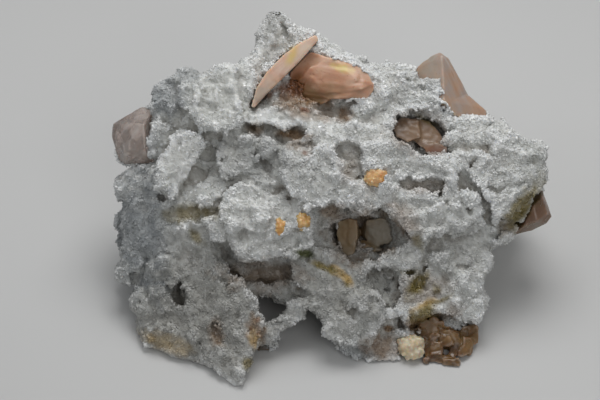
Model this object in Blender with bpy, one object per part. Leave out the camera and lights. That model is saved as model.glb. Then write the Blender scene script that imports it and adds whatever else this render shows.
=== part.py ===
"""Stilbite on chalcedony, a cabinet specimen standing on its flat base.

Metres, +Z up, base at Z = 0. The face is laid out in its own frame, in millimetres:
x to the right, z up the face and depth from the foremost tip into the mass. An empty
leans that frame back, so that the face looks forward and up.
"""
import math
import random
from dataclasses import dataclass

import bmesh
import bpy
from mathutils import Matrix, Vector

MM = 0.001
FACE_LEAN = math.radians(40.0)
SEED = 11

# Overall sizes in millimetres.
SPREAD_REACH = 700.0
SPREAD_X = -9.0
SPREAD_Z = 52.6
CORE_FRONT = 15.0
CORE_BACK = 72.0
SOCKET_GAP = 0.3

# Rear walls in the standing frame: a point on each, its turn about Z and its tilt.
BACK_WALLS = (
    ((0.0, 85.0, 25.0), 0.0, math.radians(-2.0)),
    ((36.0, 79.0, 25.0), math.radians(-34.0), math.radians(6.0)),
    ((-38.0, 77.0, 25.0), math.radians(30.0), math.radians(-3.0)),
)

# Mesh fineness.
VOXEL = 0.8 * MM
BALL_VOXEL = 0.6 * MM
MATRIX_TRIANGLES = 7000
BALL_TRIANGLES = 130
FACE_SHARE = 0.75


@dataclass(frozen=True)
class Slab:
    """A plate of the mass: its outline, the depth of its front and how it leans."""

    outline: tuple
    front: float
    thick: float
    lean_x: float = 0.0
    lean_z: float = 0.0
    back_scale: float = 1.0


# Plates along the edge of the face, clockwise from the top peak.
EDGE_SLABS = (
    Slab(((-23, 82), (-22.8, 93.5), (-21.4, 95), (-21.2, 97.5), (-21.6, 98.8), (-20.8, 99.8),
          (-19.6, 100.2), (-18.9, 101), (-19.2, 103.5), (-18.5, 105), (-17, 105.6), (-14.3, 105),
          (-12, 102.5), (-10.5, 101), (-8.5, 100.2), (-4.2, 99), (-3.7, 98.2), (-1.6, 96),
          (0, 95.2), (2, 94.3), (4, 93.5), (5.2, 92), (8.8, 90.7), (9, 86), (0, 80), (-20, 76)),
         16.0, 15.0, 0.05, 0.16, 0.92),
    Slab(((8.8, 89.5), (11, 90.3), (12.5, 90.4), (14.2, 88.8), (18, 89.7), (20.5, 90.2),
          (22.8, 89.3), (25, 86.5), (30, 84), (33, 78), (36, 74), (31, 73), (26, 76.5), (22, 78),
          (18.5, 77), (16, 74), (11, 72), (4.5, 72.5), (6.5, 75), (5, 79), (8, 80.5), (12, 83)),
         14.0, 13.0, 0.05, 0.25, 0.95),
    Slab(((35, 73.5), (37, 76), (43.5, 76), (45.5, 74.2), (47, 73.8), (48, 72), (49, 72.6),
          (50.5, 72.7), (52, 70.3), (52, 64), (44, 63), (37, 65), (33, 68)),
         14.0, 14.0, 0.10, 0.25, 0.92),
    Slab(((48, 71), (52, 70.3), (55.5, 69.2), (56.8, 70), (59, 69.7), (60.6, 67.8), (60.6, 66),
          (59.5, 63.4), (58.4, 62.9), (59.5, 62.2), (59.8, 59), (58.7, 55.7), (56, 53.5),
          (54, 49.5), (50.5, 46), (46, 48), (41, 57), (42, 64)),
         9.5, 12.0, 0.30, 0.15, 0.88),
    Slab(((50, 43.5), (46, 40.7), (43.2, 39.4), (42.8, 38.5), (44.5, 36), (44.7, 34.5),
          (42.7, 31.8), (42.7, 30.5), (41.8, 28), (41.2, 27), (43, 25.8), (42.7, 22.5),
          (41.8, 18.3), (38, 19.8), (33.7, 20.2), (28, 21), (21, 17.5), (17, 21), (19, 27),
          (18, 34), (24, 40), (32, 45), (42, 47)),
         8.5, 15.0, 0.10, 0.10, 0.92),
    Slab(((22, 8), (32, 8), (36, 7.5), (38, 10), (39.6, 14), (40, 19), (24, 19), (18, 14)),
         13.5, 12.0),
    Slab(((24, 7.4), (16, 6.8), (6.3, 7.0), (4.5, 9.2), (1.3, 11), (2, 15), (12, 17), (22, 16)),
         7.6, 16.0, 0.0, 0.2, 0.95),
    Slab(((-3.4, 15.3), (0.7, 13.9), (4, 12.6), (9.5, 12.3), (12, 15.5), (15.5, 20), (14, 25.5),
          (8, 28), (0, 28), (-6, 26), (-8.5, 22), (-5.5, 22.3), (-5, 21.5), (-5.5, 20), (-4, 20),
          (-2, 18.5)),
         4.0, 9.0, 0.0, 0.05),
    Slab(((-26.3, -0.2), (-25, 0.4), (-24.3, 2.5), (-24.6, 6), (-22.8, 9.3), (-20.6, 13.5),
          (-18.8, 18.6), (-20.6, 21.8), (-22.2, 25), (-27, 33), (-34, 38), (-42, 38), (-50, 34), (-54.8, 28),
          (-56.6, 24.7), (-55.7, 21.9), (-54.2, 21.3), (-55.7, 18.3), (-55.2, 16), (-53, 12),
          (-50, 11), (-45.2, 9.2), (-44.5, 8), (-40, 6.9), (-36, 6.5), (-32, 4.2), (-29, 1.2)),
         6.5, 8.0, -0.34, 0.20, 0.97),
    Slab(((-50, 32), (-56, 28.4), (-58.5, 28.9), (-60, 30), (-59, 36), (-59.4, 38), (-57.8, 43),
          (-58.8, 46.5), (-57, 52.6), (-60.2, 55), (-61, 56.3), (-58.2, 59.2), (-56.6, 61.6),
          (-52, 64), (-46.5, 58), (-45.5, 50), (-46, 40)),
         16.0, 13.0, -0.50, 0.05, 0.90),
    Slab(((-49.5, 76.8), (-49.2, 80), (-51.3, 85), (-50.7, 86), (-47, 86.7), (-43.5, 88),
          (-40.5, 89.6), (-37, 88), (-36, 84), (-40, 76), (-44, 73)),
         19.0, 10.0, -0.15, 0.15, 0.92),
    Slab(((-43, 80), (-43, 84), (-40, 86), (-36, 87.8), (-32, 89.5), (-30.6, 90.4), (-27.2, 90.2),
          (-26.3, 86), (-25.3, 90.5), (-23.5, 91.6), (-21, 88), (-21, 78), (-24, 74), (-31, 71.5),
          (-37, 72.5), (-40, 77)),
         10.5, 13.0, -0.05, 0.30, 0.95),
)

# Plates inside the face.
INNER_SLABS = (
    Slab(((-22, 12.8), (-19.6, 18.4), (-17.6, 18.9), (-14.2, 21), (-12.6, 23.2), (-10, 24.5),
          (-6, 24.5), (-7.8, 19.6), (-12, 17.3), (-15.2, 16), (-17.2, 13.6), (-20.5, 11)),
         6.5, 5.0, 0.0, 0.1),
    Slab(((-24, 24.6), (-21.6, 24.8), (-19.5, 26.2), (-14.5, 24.8), (-12.4, 23.4), (-6.5, 24),
          (-5.5, 31), (-14, 33), (-24, 33)), 11.0, 7.0),
    Slab(((-31.5, 49.5), (-31, 42), (-28, 39), (-24.5, 35.8), (-18.5, 36), (-14, 36.8),
          (-10, 36.3), (-6, 40), (-5.5, 46), (-6, 54), (-12, 58), (-22, 58.5), (-29, 55)),
         3.5, 9.0, -0.05, 0.12),
    Slab(((-14.3, 58), (-14.2, 67), (-11, 67.5), (-8.5, 64.5), (-4.5, 67.4), (0.4, 68),
          (1.6, 62), (2.4, 57.5), (7.5, 57), (12, 55), (14, 51), (9.5, 49.5), (5, 49.8),
          (2, 52.5), (-4, 52), (-8, 50)),
         2.0, 11.0, 0.05, 0.10),
    Slab(((8.6, 68.5), (8, 62), (9, 57), (12, 52), (16, 49), (20, 46), (23, 42), (30, 43),
          (38, 45), (43, 50), (40, 54.5), (37.5, 54.5), (33.5, 59.5), (24, 59.2), (18, 59.2),
          (18, 66), (14, 69.5)),
         4.5, 12.0, 0.12, 0.10),
    Slab(((16, 69), (20, 63), (33, 60.5), (36, 58), (40, 57), (45, 62), (42, 66), (33, 65.5),
          (26, 64.5), (21, 67)),
         6.0, 12.0, 0.10, 0.10),
    Slab(((-3, 45.2), (-3.4, 46.8), (3.8, 49.6), (5.0, 48.0)), 4.0, 3.5),
    Slab(((-12, 36), (-10, 29), (-5, 25.5), (4, 27), (11, 28), (13, 33), (10.5, 36), (5.5, 35),
          (2, 38), (-6, 39)),
         7.0, 9.0, 0.0, 0.10),
    Slab(((14, 37.2), (21, 40.4), (27, 42), (25, 35), (16.5, 33.5), (12.5, 34.5)), 6.0, 10.0),
    Slab(((-31, 58), (-14, 57), (-14, 66), (-20, 71), (-27, 72), (-31.8, 69), (-31.5, 63)),
         8.0, 9.0, 0.0, 0.12),
    Slab(((-47, 38), (-36, 38.5), (-32, 41), (-32.5, 46), (-30.5, 51), (-30.5, 57), (-34, 57),
          (-40, 56), (-46, 53)),
         10.0, 9.0, -0.12, 0.05),
    Slab(((-49.2, 55.8), (-48.6, 62.5), (-48, 63.6), (-45, 68), (-42, 72.5), (-37, 71.5),
          (-36, 69), (-38, 64.5), (-39.5, 62), (-42, 57.5), (-45, 55)),
         8.5, 8.0, -0.12, 0.20),
    Slab(((-24.5, 77.5), (-14, 78.6), (-5, 77.8), (0, 75.2), (1.5, 72), (0, 68), (-7, 69),
          (-8, 71.8), (-16, 73.6), (-24, 74.4)),
         8.5, 8.0, 0.0, 0.45),
    Slab(((0, 75.5), (4.2, 73.8), (12, 73.4), (17, 74.3), (18.5, 70), (14, 68), (8.8, 67.6),
          (5.5, 69.2), (0.5, 67.6)),
         8.0, 9.0, 0.05, 0.30),
    Slab(((-53, 63.5), (-47.5, 63), (-44, 70), (-43, 76), (-50, 76.5), (-52.8, 70)),
         17.0, 10.0, -0.1, 0.1),
    Slab(((-47, 26), (-34, 30), (-30, 36), (-33, 42), (-46, 43), (-53, 36)),
         11.5, 9.0, -0.2, 0.15),
)

# The deep mass behind the plates, open below the arch and behind the through hole.
CORE_OUTLINE = (
    (4, 9), (34, 9), (39, 14), (41, 28), (42, 38), (54, 44), (57, 56), (57, 66), (48, 70),
    (40, 76), (33, 86), (22, 88), (6, 91), (-10, 98), (-18, 101), (-22, 88), (-36, 86),
    (-48, 84), (-50, 70), (-56, 58), (-55, 44), (-55, 31), (-51, 18), (-44, 10), (-33, 8),
    (-27, 12), (-25, 24), (-21, 28), (-8, 29), (0, 26), (3, 19),
)

# Nubs on and between the plates: x, z, depth of the middle, radius.
FACE_NUBS = (
    (-51.5, 65.5, 16, 2.6), (-50, 69.5, 15, 2.8), (-48.5, 73, 15, 2.4), (-48.5, 78, 16, 2.6),
    (-45, 79, 14.5, 2.6), (-41.5, 87, 18, 2.8), (-37.5, 83, 9.5, 2.2), (-35.5, 75, 7.5, 2.2),
    (-28, 84, 9, 3.0), (-33, 80, 9, 3.2), (-47, 35, 12, 3.0), (-54, 50, 17.5, 3.0),
    (-52, 41, 15.5, 3.2), (-56, 33, 18, 2.6), (-42, 45, 8.5, 2.6), (-36, 52, 8, 2.6),
    (-27, 45, 3, 3.0), (-20, 48, 2.5, 3.4), (-13, 42, 3, 3.0), (-9, 52, 2.5, 3.0),
    (-24, 62, 7, 2.8), (-18, 67, 7, 2.6), (-10, 62, 2, 3.2), (-3, 58, 2, 3.0), (-3, 64, 2.5, 2.8),
    (11, 62, 4, 2.8), (15, 56, 3.5, 2.8), (13, 66, 5, 2.4), (25, 49, 5, 3.2), (33, 50, 6, 3.0),
    (38, 48, 7, 2.8), (47, 56, 8, 3.0), (53, 65, 10, 3.0), (45, 70, 12, 3.0), (20, 85, 14, 3.0),
    (14, 82, 13, 3.0), (27, 80, 14, 2.8), (31, 70, 13, 2.6), (36, 30, 8, 3.2), (30, 36, 7.5, 3.0),
    (38, 36, 9, 2.6), (34, 25, 8, 2.6), (8, 24, 3, 3.0), (0, 20, 3.5, 2.6), (-2, 30, 6.5, 2.6),
    (7, 31, 6.5, 2.6), (-30, 8, 3, 2.6), (-38, 14, 6, 3.0), (-30, 22, 5, 3.0), (-48, 16, 9.5, 2.6),
    (-49, 27, 12, 2.8), (-34, 32, 8, 2.8), (-14, 83, 15.5, 2.4), (-17.5, 80.5, 14, 2.2),
    (-11, 80, 13.5, 2.2), (-6, 79, 12, 1.8), (20, 77.5, 11.5, 1.5), (-24, 7.2, 2.2, 1.6),
    (10, 78.5, 12, 2.4), (-16, 96, 17.0, 3.0), (-13, 99, 18, 2.8), (24, 31, 9, 3.0),
)

# Hollows cut into the mass: x, z, depth of the middle and half sizes along x, depth and z.
HOLLOWS = (
    (8.5, 43, 14.0, 10.0, 14.0, 6.2),
    (17.5, 43, 12.0, 4.5, 10.0, 4.5),
    (0.5, 48.2, 10.0, 5.0, 9.0, 2.2),
    (24.0, 71.0, 14.0, 8.5, 12.0, 5.2),
    (21.0, 56.8, 8.0, 3.2, 8.0, 1.8),
    (28.0, 56.2, 9.0, 4.2, 8.0, 2.4),
    (4.5, 62.5, 9.0, 3.2, 9.0, 5.6),
    (3.4, 76.2, 12.0, 2.6, 8.0, 2.4),
    (-11.5, 70.6, 11.0, 4.0, 7.0, 1.6),
    (-21.0, 72.0, 10.0, 2.4, 5.0, 1.6),
    (-35.0, 66.0, 12.0, 2.6, 7.0, 3.2),
    (-37.0, 59.5, 12.0, 3.2, 6.0, 2.6),
    (-47.5, 53.5, 14.0, 1.6, 6.0, 1.6),
    (-43.0, 25.6, 9.0, 3.0, 9.0, 3.4),
    (-20.0, 33.0, 13.0, 11.0, 9.0, 4.0),
    (13.0, 30.0, 9.0, 4.0, 8.0, 4.2),
    (21.5, 32.0, 9.0, 1.8, 7.0, 1.8),
    (26.0, 32.0, 10.0, 1.8, 7.0, 2.8),
    (-17.4, 22.3, 10.0, 4.6, 16.0, 3.0),
    (35.5, 58.0, 9.0, 1.6, 6.0, 3.0),
    (52.0, 45.5, 22.0, 5.0, 8.0, 2.4),
)


# Crystals: each is a group of convex blocks, whose corners are x, z, depth.
TOP_RIGHT_BLOCKS = (
    ((30.8, 92.8, 16.5), (31.5, 80.0, 12.5), (23.0, 89.2, 21.0), (26.0, 91.6, 20.5),
     (28.2, 93.2, 20.0), (30.3, 93.9, 20.0), (23.5, 82.0, 17.5), (32.6, 92.2, 20.5),
     (36.0, 86.1, 20.5), (38.9, 80.4, 21.0), (34.5, 76.0, 14.5), (24.5, 88.0, 33.0),
     (30.0, 92.0, 33.0), (35.0, 85.5, 33.0), (37.0, 79.0, 33.0), (26.5, 80.0, 33.0)),
    ((38.2, 82.0, 20.0), (41.5, 78.7, 20.5), (43.1, 77.7, 21.5), (43.5, 75.0, 21.0),
     (36.0, 73.5, 15.5), (33.5, 80.0, 14.8), (40.0, 76.5, 33.0), (34.0, 76.0, 33.0)),
)
LEFT_BLOCKS = (
    ((-58.2, 66.0, 15.5), (-59.2, 71.2, 15.8), (-56.2, 74.2, 14.8), (-52.6, 73.6, 13.8),
     (-52.4, 67.0, 13.8), (-55.5, 64.6, 15.0), (-58.0, 62.6, 19.5), (-59.8, 64.0, 19.8),
     (-61.8, 70.5, 20.0), (-61.4, 73.9, 20.5), (-57.5, 76.3, 20.5), (-53.3, 78.7, 20.5),
     (-50.2, 78.2, 20.0), (-50.0, 63.0, 18.5), (-58.5, 66.0, 29.0), (-58.8, 72.0, 29.0),
     (-52.0, 76.5, 30.0), (-49.0, 74.0, 31.0), (-49.0, 66.0, 31.0)),
)
RIGHT_BLOCKS = (
    ((57.4, 46.8, 15.2), (60.2, 48.8, 16.6), (58.8, 53.2, 16.8), (56.4, 51.0, 15.2),
     (53.6, 45.2, 16.0), (50.2, 42.6, 20.0), (56.0, 44.1, 19.5), (60.0, 46.0, 19.5),
     (61.5, 48.0, 19.5), (60.1, 52.0, 20.0), (58.9, 55.4, 20.5), (52.0, 50.0, 22.0),
     (52.0, 44.5, 30.0), (58.5, 48.0, 29.0), (57.0, 54.0, 29.0), (50.0, 50.0, 32.0)),
)
HOLLOW_BLOCKS = (
    ((1.6, 46.6, 14.6), (5.0, 47.4, 13.4), (6.9, 46.8, 12.8), (7.0, 42.0, 12.6),
     (6.0, 37.4, 13.6), (3.2, 36.8, 14.4), (1.2, 43.0, 14.6), (5.0, 47.6, 30.0),
     (8.0, 43.0, 30.0), (4.5, 38.0, 30.0)),
    ((9.6, 46.8, 17.5), (14.0, 47.6, 16.0), (17.6, 45.5, 15.6), (16.8, 41.0, 16.5),
     (12.5, 39.4, 18.0), (9.2, 42.0, 19.5), (12.0, 47.0, 30.0), (17.5, 44.0, 30.0),
     (13.0, 40.0, 30.0), (6.8, 43.5, 30.0)),
    ((4.4, 41.5, 17.5), (10.5, 41.0, 19.5), (14.0, 38.6, 16.5), (10.0, 37.0, 17.5),
     (5.2, 37.2, 16.5), (6.0, 40.5, 30.0), (13.0, 39.8, 30.0), (9.0, 37.8, 30.0)),
)
POCKET_BLOCKS = (
    ((16.8, 73.0, 14.0), (19.2, 75.8, 15.0), (24.2, 75.0, 14.5), (24.8, 70.0, 12.5),
     (21.0, 68.8, 12.0), (18.0, 70.4, 12.5), (19.0, 74.0, 29.0), (25.0, 74.0, 29.0),
     (24.0, 69.5, 29.0), (19.5, 70.0, 29.0)),
    ((22.6, 75.6, 16.0), (27.0, 74.6, 15.5), (30.2, 71.4, 15.0), (31.8, 67.0, 13.0),
     (26.6, 66.2, 11.8), (23.4, 68.6, 13.5), (25.5, 74.5, 29.0), (30.5, 70.5, 29.0),
     (28.0, 67.0, 29.0), (23.0, 70.0, 29.0)),
    ((25.2, 68.4, 12.6), (29.0, 68.6, 11.8), (32.4, 67.4, 12.0), (32.0, 65.9, 12.0),
     (26.4, 65.7, 11.6), (27.0, 68.0, 24.0), (31.5, 67.5, 24.0), (29.0, 66.0, 24.0)),
)
CLUSTER_BLOCKS = (
    ((30.2, 15.6, 9.2), (33.0, 16.8, 9.0), (36.2, 15.4, 9.4), (35.8, 12.4, 8.4),
     (32.2, 11.6, 8.0), (29.6, 13.0, 8.6), (31.0, 17.0, 18.0), (36.0, 16.0, 18.0),
     (35.5, 11.5, 18.0), (30.5, 12.0, 18.0)),
    ((32.4, 12.4, 9.8), (36.8, 13.6, 9.4), (39.6, 13.4, 11.0), (39.2, 9.6, 10.2),
     (36.6, 7.4, 7.2), (33.4, 8.6, 7.6), (34.0, 13.5, 19.0), (39.2, 13.0, 19.0),
     (38.0, 9.0, 19.0), (34.0, 9.0, 19.0)),
    ((36.4, 17.4, 12.0), (40.6, 17.4, 12.6), (41.0, 15.4, 12.6), (40.2, 11.2, 12.2),
     (38.0, 12.0, 11.0), (37.0, 17.5, 20.0), (40.2, 16.5, 20.0), (39.2, 12.0, 20.0)),
    ((24.4, 15.0, 9.8), (28.0, 15.4, 9.0), (30.6, 13.4, 8.8), (30.8, 10.2, 8.2),
     (27.2, 8.4, 7.6), (25.0, 10.0, 8.4), (25.5, 15.0, 19.0), (30.0, 14.0, 19.0),
     (30.0, 9.5, 19.0), (26.0, 10.0, 19.0)),
    ((25.0, 18.8, 10.4), (28.4, 19.8, 9.6), (31.0, 18.4, 9.6), (31.2, 15.8, 9.6),
     (28.0, 15.0, 9.2), (24.6, 16.0, 10.2), (26.0, 19.0, 19.0), (30.6, 18.6, 19.0),
     (30.0, 15.5, 19.0), (25.5, 16.0, 19.0)),
    ((25.8, 9.0, 7.6), (31.0, 9.4, 7.2), (33.8, 8.6, 7.2), (35.4, 6.3, 6.4), (32.0, 6.9, 7.0),
     (26.0, 7.2, 7.4), (27.0, 11.0, 16.0), (35.5, 10.5, 16.0)),
    ((20.4, 15.2, 11.0), (24.0, 17.0, 10.6), (26.2, 17.6, 10.4), (26.0, 14.6, 9.8),
     (23.0, 14.2, 10.4), (21.5, 15.5, 18.0), (25.5, 16.5, 18.0), (24.5, 14.0, 18.0)),
)
DISC_BLOCKS = (
    ((-22.4, 9.4, 11.5), (-20.4, 11.6, 11.0), (-15.8, 15.9, 11.0), (-14.8, 13.8, 11.5),
     (-16.5, 10.2, 11.5), (-19.0, 9.1, 11.0), (-21.5, 10.5, 15.5), (-16.5, 15.5, 15.5),
     (-17.5, 10.0, 15.0)),
)
FAN_BLOCKS = (
    ((-12.4, 86.2, 15.0), (-11.6, 88.6, 15.4), (-6.2, 94.2, 15.2), (-3.2, 93.2, 13.8),
     (0.0, 92.2, 13.0), (-3.0, 86.5, 11.5), (-11.0, 88.0, 20.5), (-5.5, 93.0, 20.5),
     (0.0, 91.0, 20.5), (-4.0, 86.0, 20.5)),
    ((-9.8, 85.2, 14.0), (-6.2, 89.8, 12.6), (-0.2, 92.4, 13.2), (6.0, 90.4, 13.0),
     (8.4, 89.7, 13.2), (7.0, 86.0, 10.8), (-2.0, 84.2, 11.6), (-8.0, 87.0, 20.5),
     (0.0, 91.5, 20.5), (7.5, 88.5, 20.5), (6.0, 84.0, 20.5)),
    ((-8.8, 83.4, 13.6), (-6.0, 87.2, 12.2), (8.2, 89.7, 13.0), (10.3, 87.7, 12.8),
     (11.5, 85.0, 12.2), (8.5, 83.6, 10.4), (-2.0, 82.4, 11.2), (-5.0, 86.0, 20.5),
     (8.0, 88.5, 20.5), (10.0, 84.5, 20.5)),
    ((-8.6, 82.2, 13.8), (-6.8, 85.0, 13.0), (9.0, 86.0, 11.2), (11.6, 85.4, 12.4),
     (11.8, 83.4, 12.6), (10.0, 80.9, 12.2), (4.0, 81.3, 10.8), (-1.0, 80.8, 11.4),
     (-5.0, 84.5, 20.0), (10.0, 84.5, 20.0), (8.5, 81.5, 20.0)),
    ((-8.4, 81.4, 14.4), (-8.0, 84.0, 14.0), (0.2, 83.8, 12.2), (1.2, 81.4, 12.0),
     (-3.0, 79.2, 12.8), (-5.0, 80.4, 13.8), (-6.0, 83.0, 19.5), (0.0, 82.5, 19.5),
     (-2.5, 80.0, 19.5)),
)

# The blade at the top, seen on its long narrow side, as one plate.
BLADE = Slab(((-22.7, 78.6), (-21.2, 84.0), (-18.5, 88.2), (-14.0, 93.0), (-9.0, 96.7),
              (-4.5, 98.9), (-3.8, 97.4), (-6.2, 94.7), (-10.2, 90.2), (-14.0, 86.5),
              (-18.0, 82.6), (-21.8, 78.5)), 10.0, 9.5, 0.10, 0.06, 0.94)

# Small balls of crystal: x, z, depth of the middle and half sizes along x, depth and z.
BALLS = (
    ("orange_ball_right", (12.4, 59.0, 3.6), (2.9, 2.2, 2.3), "amber"),
    ("orange_ball_left", (-14.6, 45.0, 2.2), (1.2, 1.4, 2.3), "amber"),
    ("orange_ball_middle", (-8.2, 46.6, 2.4), (1.9, 1.6, 2.0), "amber"),
    ("cream_cluster", (22.0, 11.2, 8.4), (3.6, 2.8, 3.2), "cream"),
)


def face_point(x, z, depth):
    """Return a point of the face frame in metres, spread a little with its depth."""
    grow = 1.0 + depth / SPREAD_REACH
    return Vector((SPREAD_X + (x - SPREAD_X) * grow, depth, SPREAD_Z + (z - SPREAD_Z) * grow)) * MM


def standing_point(x, y, z):
    """Return a point given in the standing frame, in millimetres, in the face frame."""
    lean = Matrix.Rotation(FACE_LEAN, 4, "X")
    return (lean @ Vector((x, y, z))) * MM


def clear_scene():
    """Remove every object that the file opens with."""
    for item in list(bpy.data.objects):
        bpy.data.objects.remove(item, do_unlink=True)


def new_object(name, bm, material, frame):
    """Turn a bmesh into a named object in the leaning frame."""
    mesh = bpy.data.meshes.new(name)
    bm.to_mesh(mesh)
    bm.free()
    obj = bpy.data.objects.new(name, mesh)
    if material:
        mesh.materials.append(material)
    bpy.context.scene.collection.objects.link(obj)
    obj.parent = frame
    return obj


def make_cutter(obj):
    """Mark an object as a cutting form that isn't a piece."""
    obj.hide_render = True
    obj.display_type = "WIRE"
    return obj


def baked(obj, name, material, frame):
    """Return a new object with the evaluated mesh of another, and remove that one."""
    graph = bpy.context.evaluated_depsgraph_get()
    mesh = bpy.data.meshes.new_from_object(obj.evaluated_get(graph))
    mesh.name = name
    bpy.data.objects.remove(obj, do_unlink=True)
    mesh.materials.clear()
    if material:
        mesh.materials.append(material)
    result = bpy.data.objects.new(name, mesh)
    bpy.context.scene.collection.objects.link(result)
    result.parent = frame
    return result


def keep_largest(obj):
    """Remove every loose crumb, so that one body stays."""
    bm = bmesh.new()
    bm.from_mesh(obj.data)
    unseen = set(bm.verts)
    bodies = []
    while unseen:
        body = {unseen.pop()}
        edge_of_body = list(body)
        while edge_of_body:
            vert = edge_of_body.pop()
            for edge in vert.link_edges:
                other = edge.other_vert(vert)
                if other in unseen:
                    unseen.discard(other)
                    body.add(other)
                    edge_of_body.append(other)
        bodies.append(body)
    bodies.sort(key=len, reverse=True)
    crumbs = [vert for body in bodies[1:] for vert in body]
    bmesh.ops.delete(bm, geom=crumbs, context="VERTS")
    bm.to_mesh(obj.data)
    bm.free()


def make_material(name, colour, roughness, transmission=0.0):
    """Return a Principled material of one colour."""
    material = bpy.data.materials.new(name)
    material.use_nodes = True
    shader = material.node_tree.nodes["Principled BSDF"]
    shader.inputs["Base Color"].default_value = (*colour, 1.0)
    shader.inputs["Roughness"].default_value = roughness
    shader.inputs["Metallic"].default_value = 0.0
    shader.inputs["Transmission Weight"].default_value = transmission
    material.diffuse_color = (*colour, 1.0)
    return material


def add_slab(bm, slab):
    """Add one plate to a bmesh as a closed prism."""
    count = len(slab.outline)
    mid_x = sum(x for x, _ in slab.outline) / count
    mid_z = sum(z for _, z in slab.outline) / count
    front = []
    back = []
    for x, z in slab.outline:
        depth = slab.front + slab.lean_x * (x - mid_x) + slab.lean_z * (z - mid_z)
        front.append(bm.verts.new(face_point(x, z, depth)))
        back_x = mid_x + (x - mid_x) * slab.back_scale
        back_z = mid_z + (z - mid_z) * slab.back_scale
        back.append(bm.verts.new(face_point(back_x, back_z, depth + slab.thick)))
    faces = [bm.faces.new(front), bm.faces.new(list(reversed(back)))]
    for index in range(count):
        after = (index + 1) % count
        faces.append(bm.faces.new((front[after], front[index], back[index], back[after])))
    bmesh.ops.recalc_face_normals(bm, faces=faces)
    bmesh.ops.triangulate(bm, faces=faces)


def add_lump(bm, middle, radii, turn=None, fineness=2):
    """Add one ellipsoid lump to a bmesh; its middle is in metres, its radii in mm."""
    sizes = Matrix.Diagonal((*(Vector(radii) * MM), 1.0))
    turned = turn or Matrix.Identity(4)
    place = Matrix.Translation(middle) @ turned @ sizes
    bmesh.ops.create_icosphere(bm, subdivisions=fineness, radius=1.0, matrix=place)


def random_turn(rng):
    """Return a random rotation."""
    angles = [rng.uniform(0.0, math.tau) for _ in range(3)]
    turn = Matrix.Rotation(angles[0], 4, "X") @ Matrix.Rotation(angles[1], 4, "Y")
    return turn @ Matrix.Rotation(angles[2], 4, "Z")


def scattered_points(obj, rng, count, wanted):
    """Return seeded points of an object's skin, with their normals, in its own frame."""
    mesh = obj.data
    mesh.calc_loop_triangles()
    picked = []
    triangles = mesh.loop_triangles
    while len(picked) < count:
        triangle = triangles[rng.randrange(len(triangles))]
        if wanted(triangle.center / MM, triangle.normal):
            picked.append((triangle.center.copy(), triangle.normal.copy()))
    return picked


def on_back(point, normal):
    """Tell whether a skin point lies behind the face and on a side or the back."""
    return point.y > 27.0 and normal.y > -0.2


def back_form(deep, rng):
    """Return a bmesh of rounded lumps and ledges that cover the sides and the back."""
    bm = bmesh.new()
    for point, normal in scattered_points(deep, rng, 230, on_back):
        room = 3.2 + 0.16 * (point.y / MM - 27.0)
        size = rng.uniform(0.5, 1.0) * min(room, 9.0)
        radii = (size, size * rng.uniform(0.6, 1.0), size * rng.uniform(0.5, 1.0))
        add_lump(bm, point, radii, random_turn(rng))
    for point, normal in scattered_points(deep, rng, 170, on_back):
        size = rng.uniform(0.6, 1.0) * min(3.0 + 0.12 * (point.y / MM - 27.0), 6.5)
        turn = normal.to_track_quat("X", "Z").to_matrix().to_4x4()
        turn = turn @ Matrix.Rotation(rng.uniform(0.0, math.pi), 4, "X")
        radii = (size, size * rng.uniform(0.5, 1.1), rng.uniform(0.9, 1.6))
        add_lump(bm, point, radii, turn)
    return bm


def core_form():
    """Return a bmesh of the deep mass with its plates, nubs, lumps and ledges."""
    rng = random.Random(SEED)
    bm = bmesh.new()
    add_slab(bm, Slab(CORE_OUTLINE, CORE_FRONT, CORE_BACK - CORE_FRONT, 0.0, 0.06, 0.80))
    for slab in EDGE_SLABS + INNER_SLABS:
        add_slab(bm, slab)
    for x, z, depth, radius in FACE_NUBS:
        size = Vector((radius, radius * 1.1, radius * 0.9))
        add_lump(bm, face_point(x, z, depth + 0.3 * radius), size, random_turn(rng))
    return bm


def hollow_form():
    """Return a bmesh of the lumps that are hollowed out."""
    bm = bmesh.new()
    for x, z, depth, half_x, half_depth, half_z in HOLLOWS:
        add_lump(bm, face_point(x, z, depth), (half_x, half_depth, half_z), fineness=3)
    return bm


def half_space_form(corner, turn_z, tilt):
    """Return a bmesh of a large box behind a wall that stands at a corner point."""
    bm = bmesh.new()
    turn = Matrix.Rotation(turn_z, 4, "Z") @ Matrix.Rotation(tilt, 4, "X")
    size = Matrix.Diagonal((0.4, 0.2, 0.4, 1.0))
    place = Matrix.Translation(Vector(corner) * MM) @ turn
    bmesh.ops.create_cube(bm, size=1.0, matrix=place @ Matrix.Translation((0, 0.1, 0)) @ size)
    return bm


def floor_form(height=0.0):
    """Return a bmesh of a large box whose top is level, at a height in millimetres."""
    bm = bmesh.new()
    place = Matrix.Translation((0.0, 0.05, height * MM - 0.1))
    place = place @ Matrix.Diagonal((0.5, 0.5, 0.2, 1.0))
    bmesh.ops.create_cube(bm, size=1.0, matrix=place)
    return bm


def block_mesh(corners, grow=0.0):
    """Return a bmesh of a convex block, grown outward by some millimetres."""
    bm = bmesh.new()
    for x, z, depth in corners:
        bm.verts.new(face_point(x, z, depth))
    result = bmesh.ops.convex_hull(bm, input=bm.verts)
    inner = [item for item in result["geom_interior"] if isinstance(item, bmesh.types.BMVert)]
    bmesh.ops.delete(bm, geom=inner, context="VERTS")
    bmesh.ops.dissolve_limit(bm, angle_limit=0.02, verts=bm.verts, edges=bm.edges)
    bmesh.ops.recalc_face_normals(bm, faces=bm.faces)
    grow_mesh(bm, grow)
    return bm


def grow_mesh(bm, grow):
    """Push every vertex outward, so that the faces move by some millimetres."""
    if not grow:
        return
    bm.normal_update()
    moves = [(vert, vert.normal * vert.calc_shell_factor() * grow * MM) for vert in bm.verts]
    for vert, move in moves:
        vert.co += move


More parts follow.
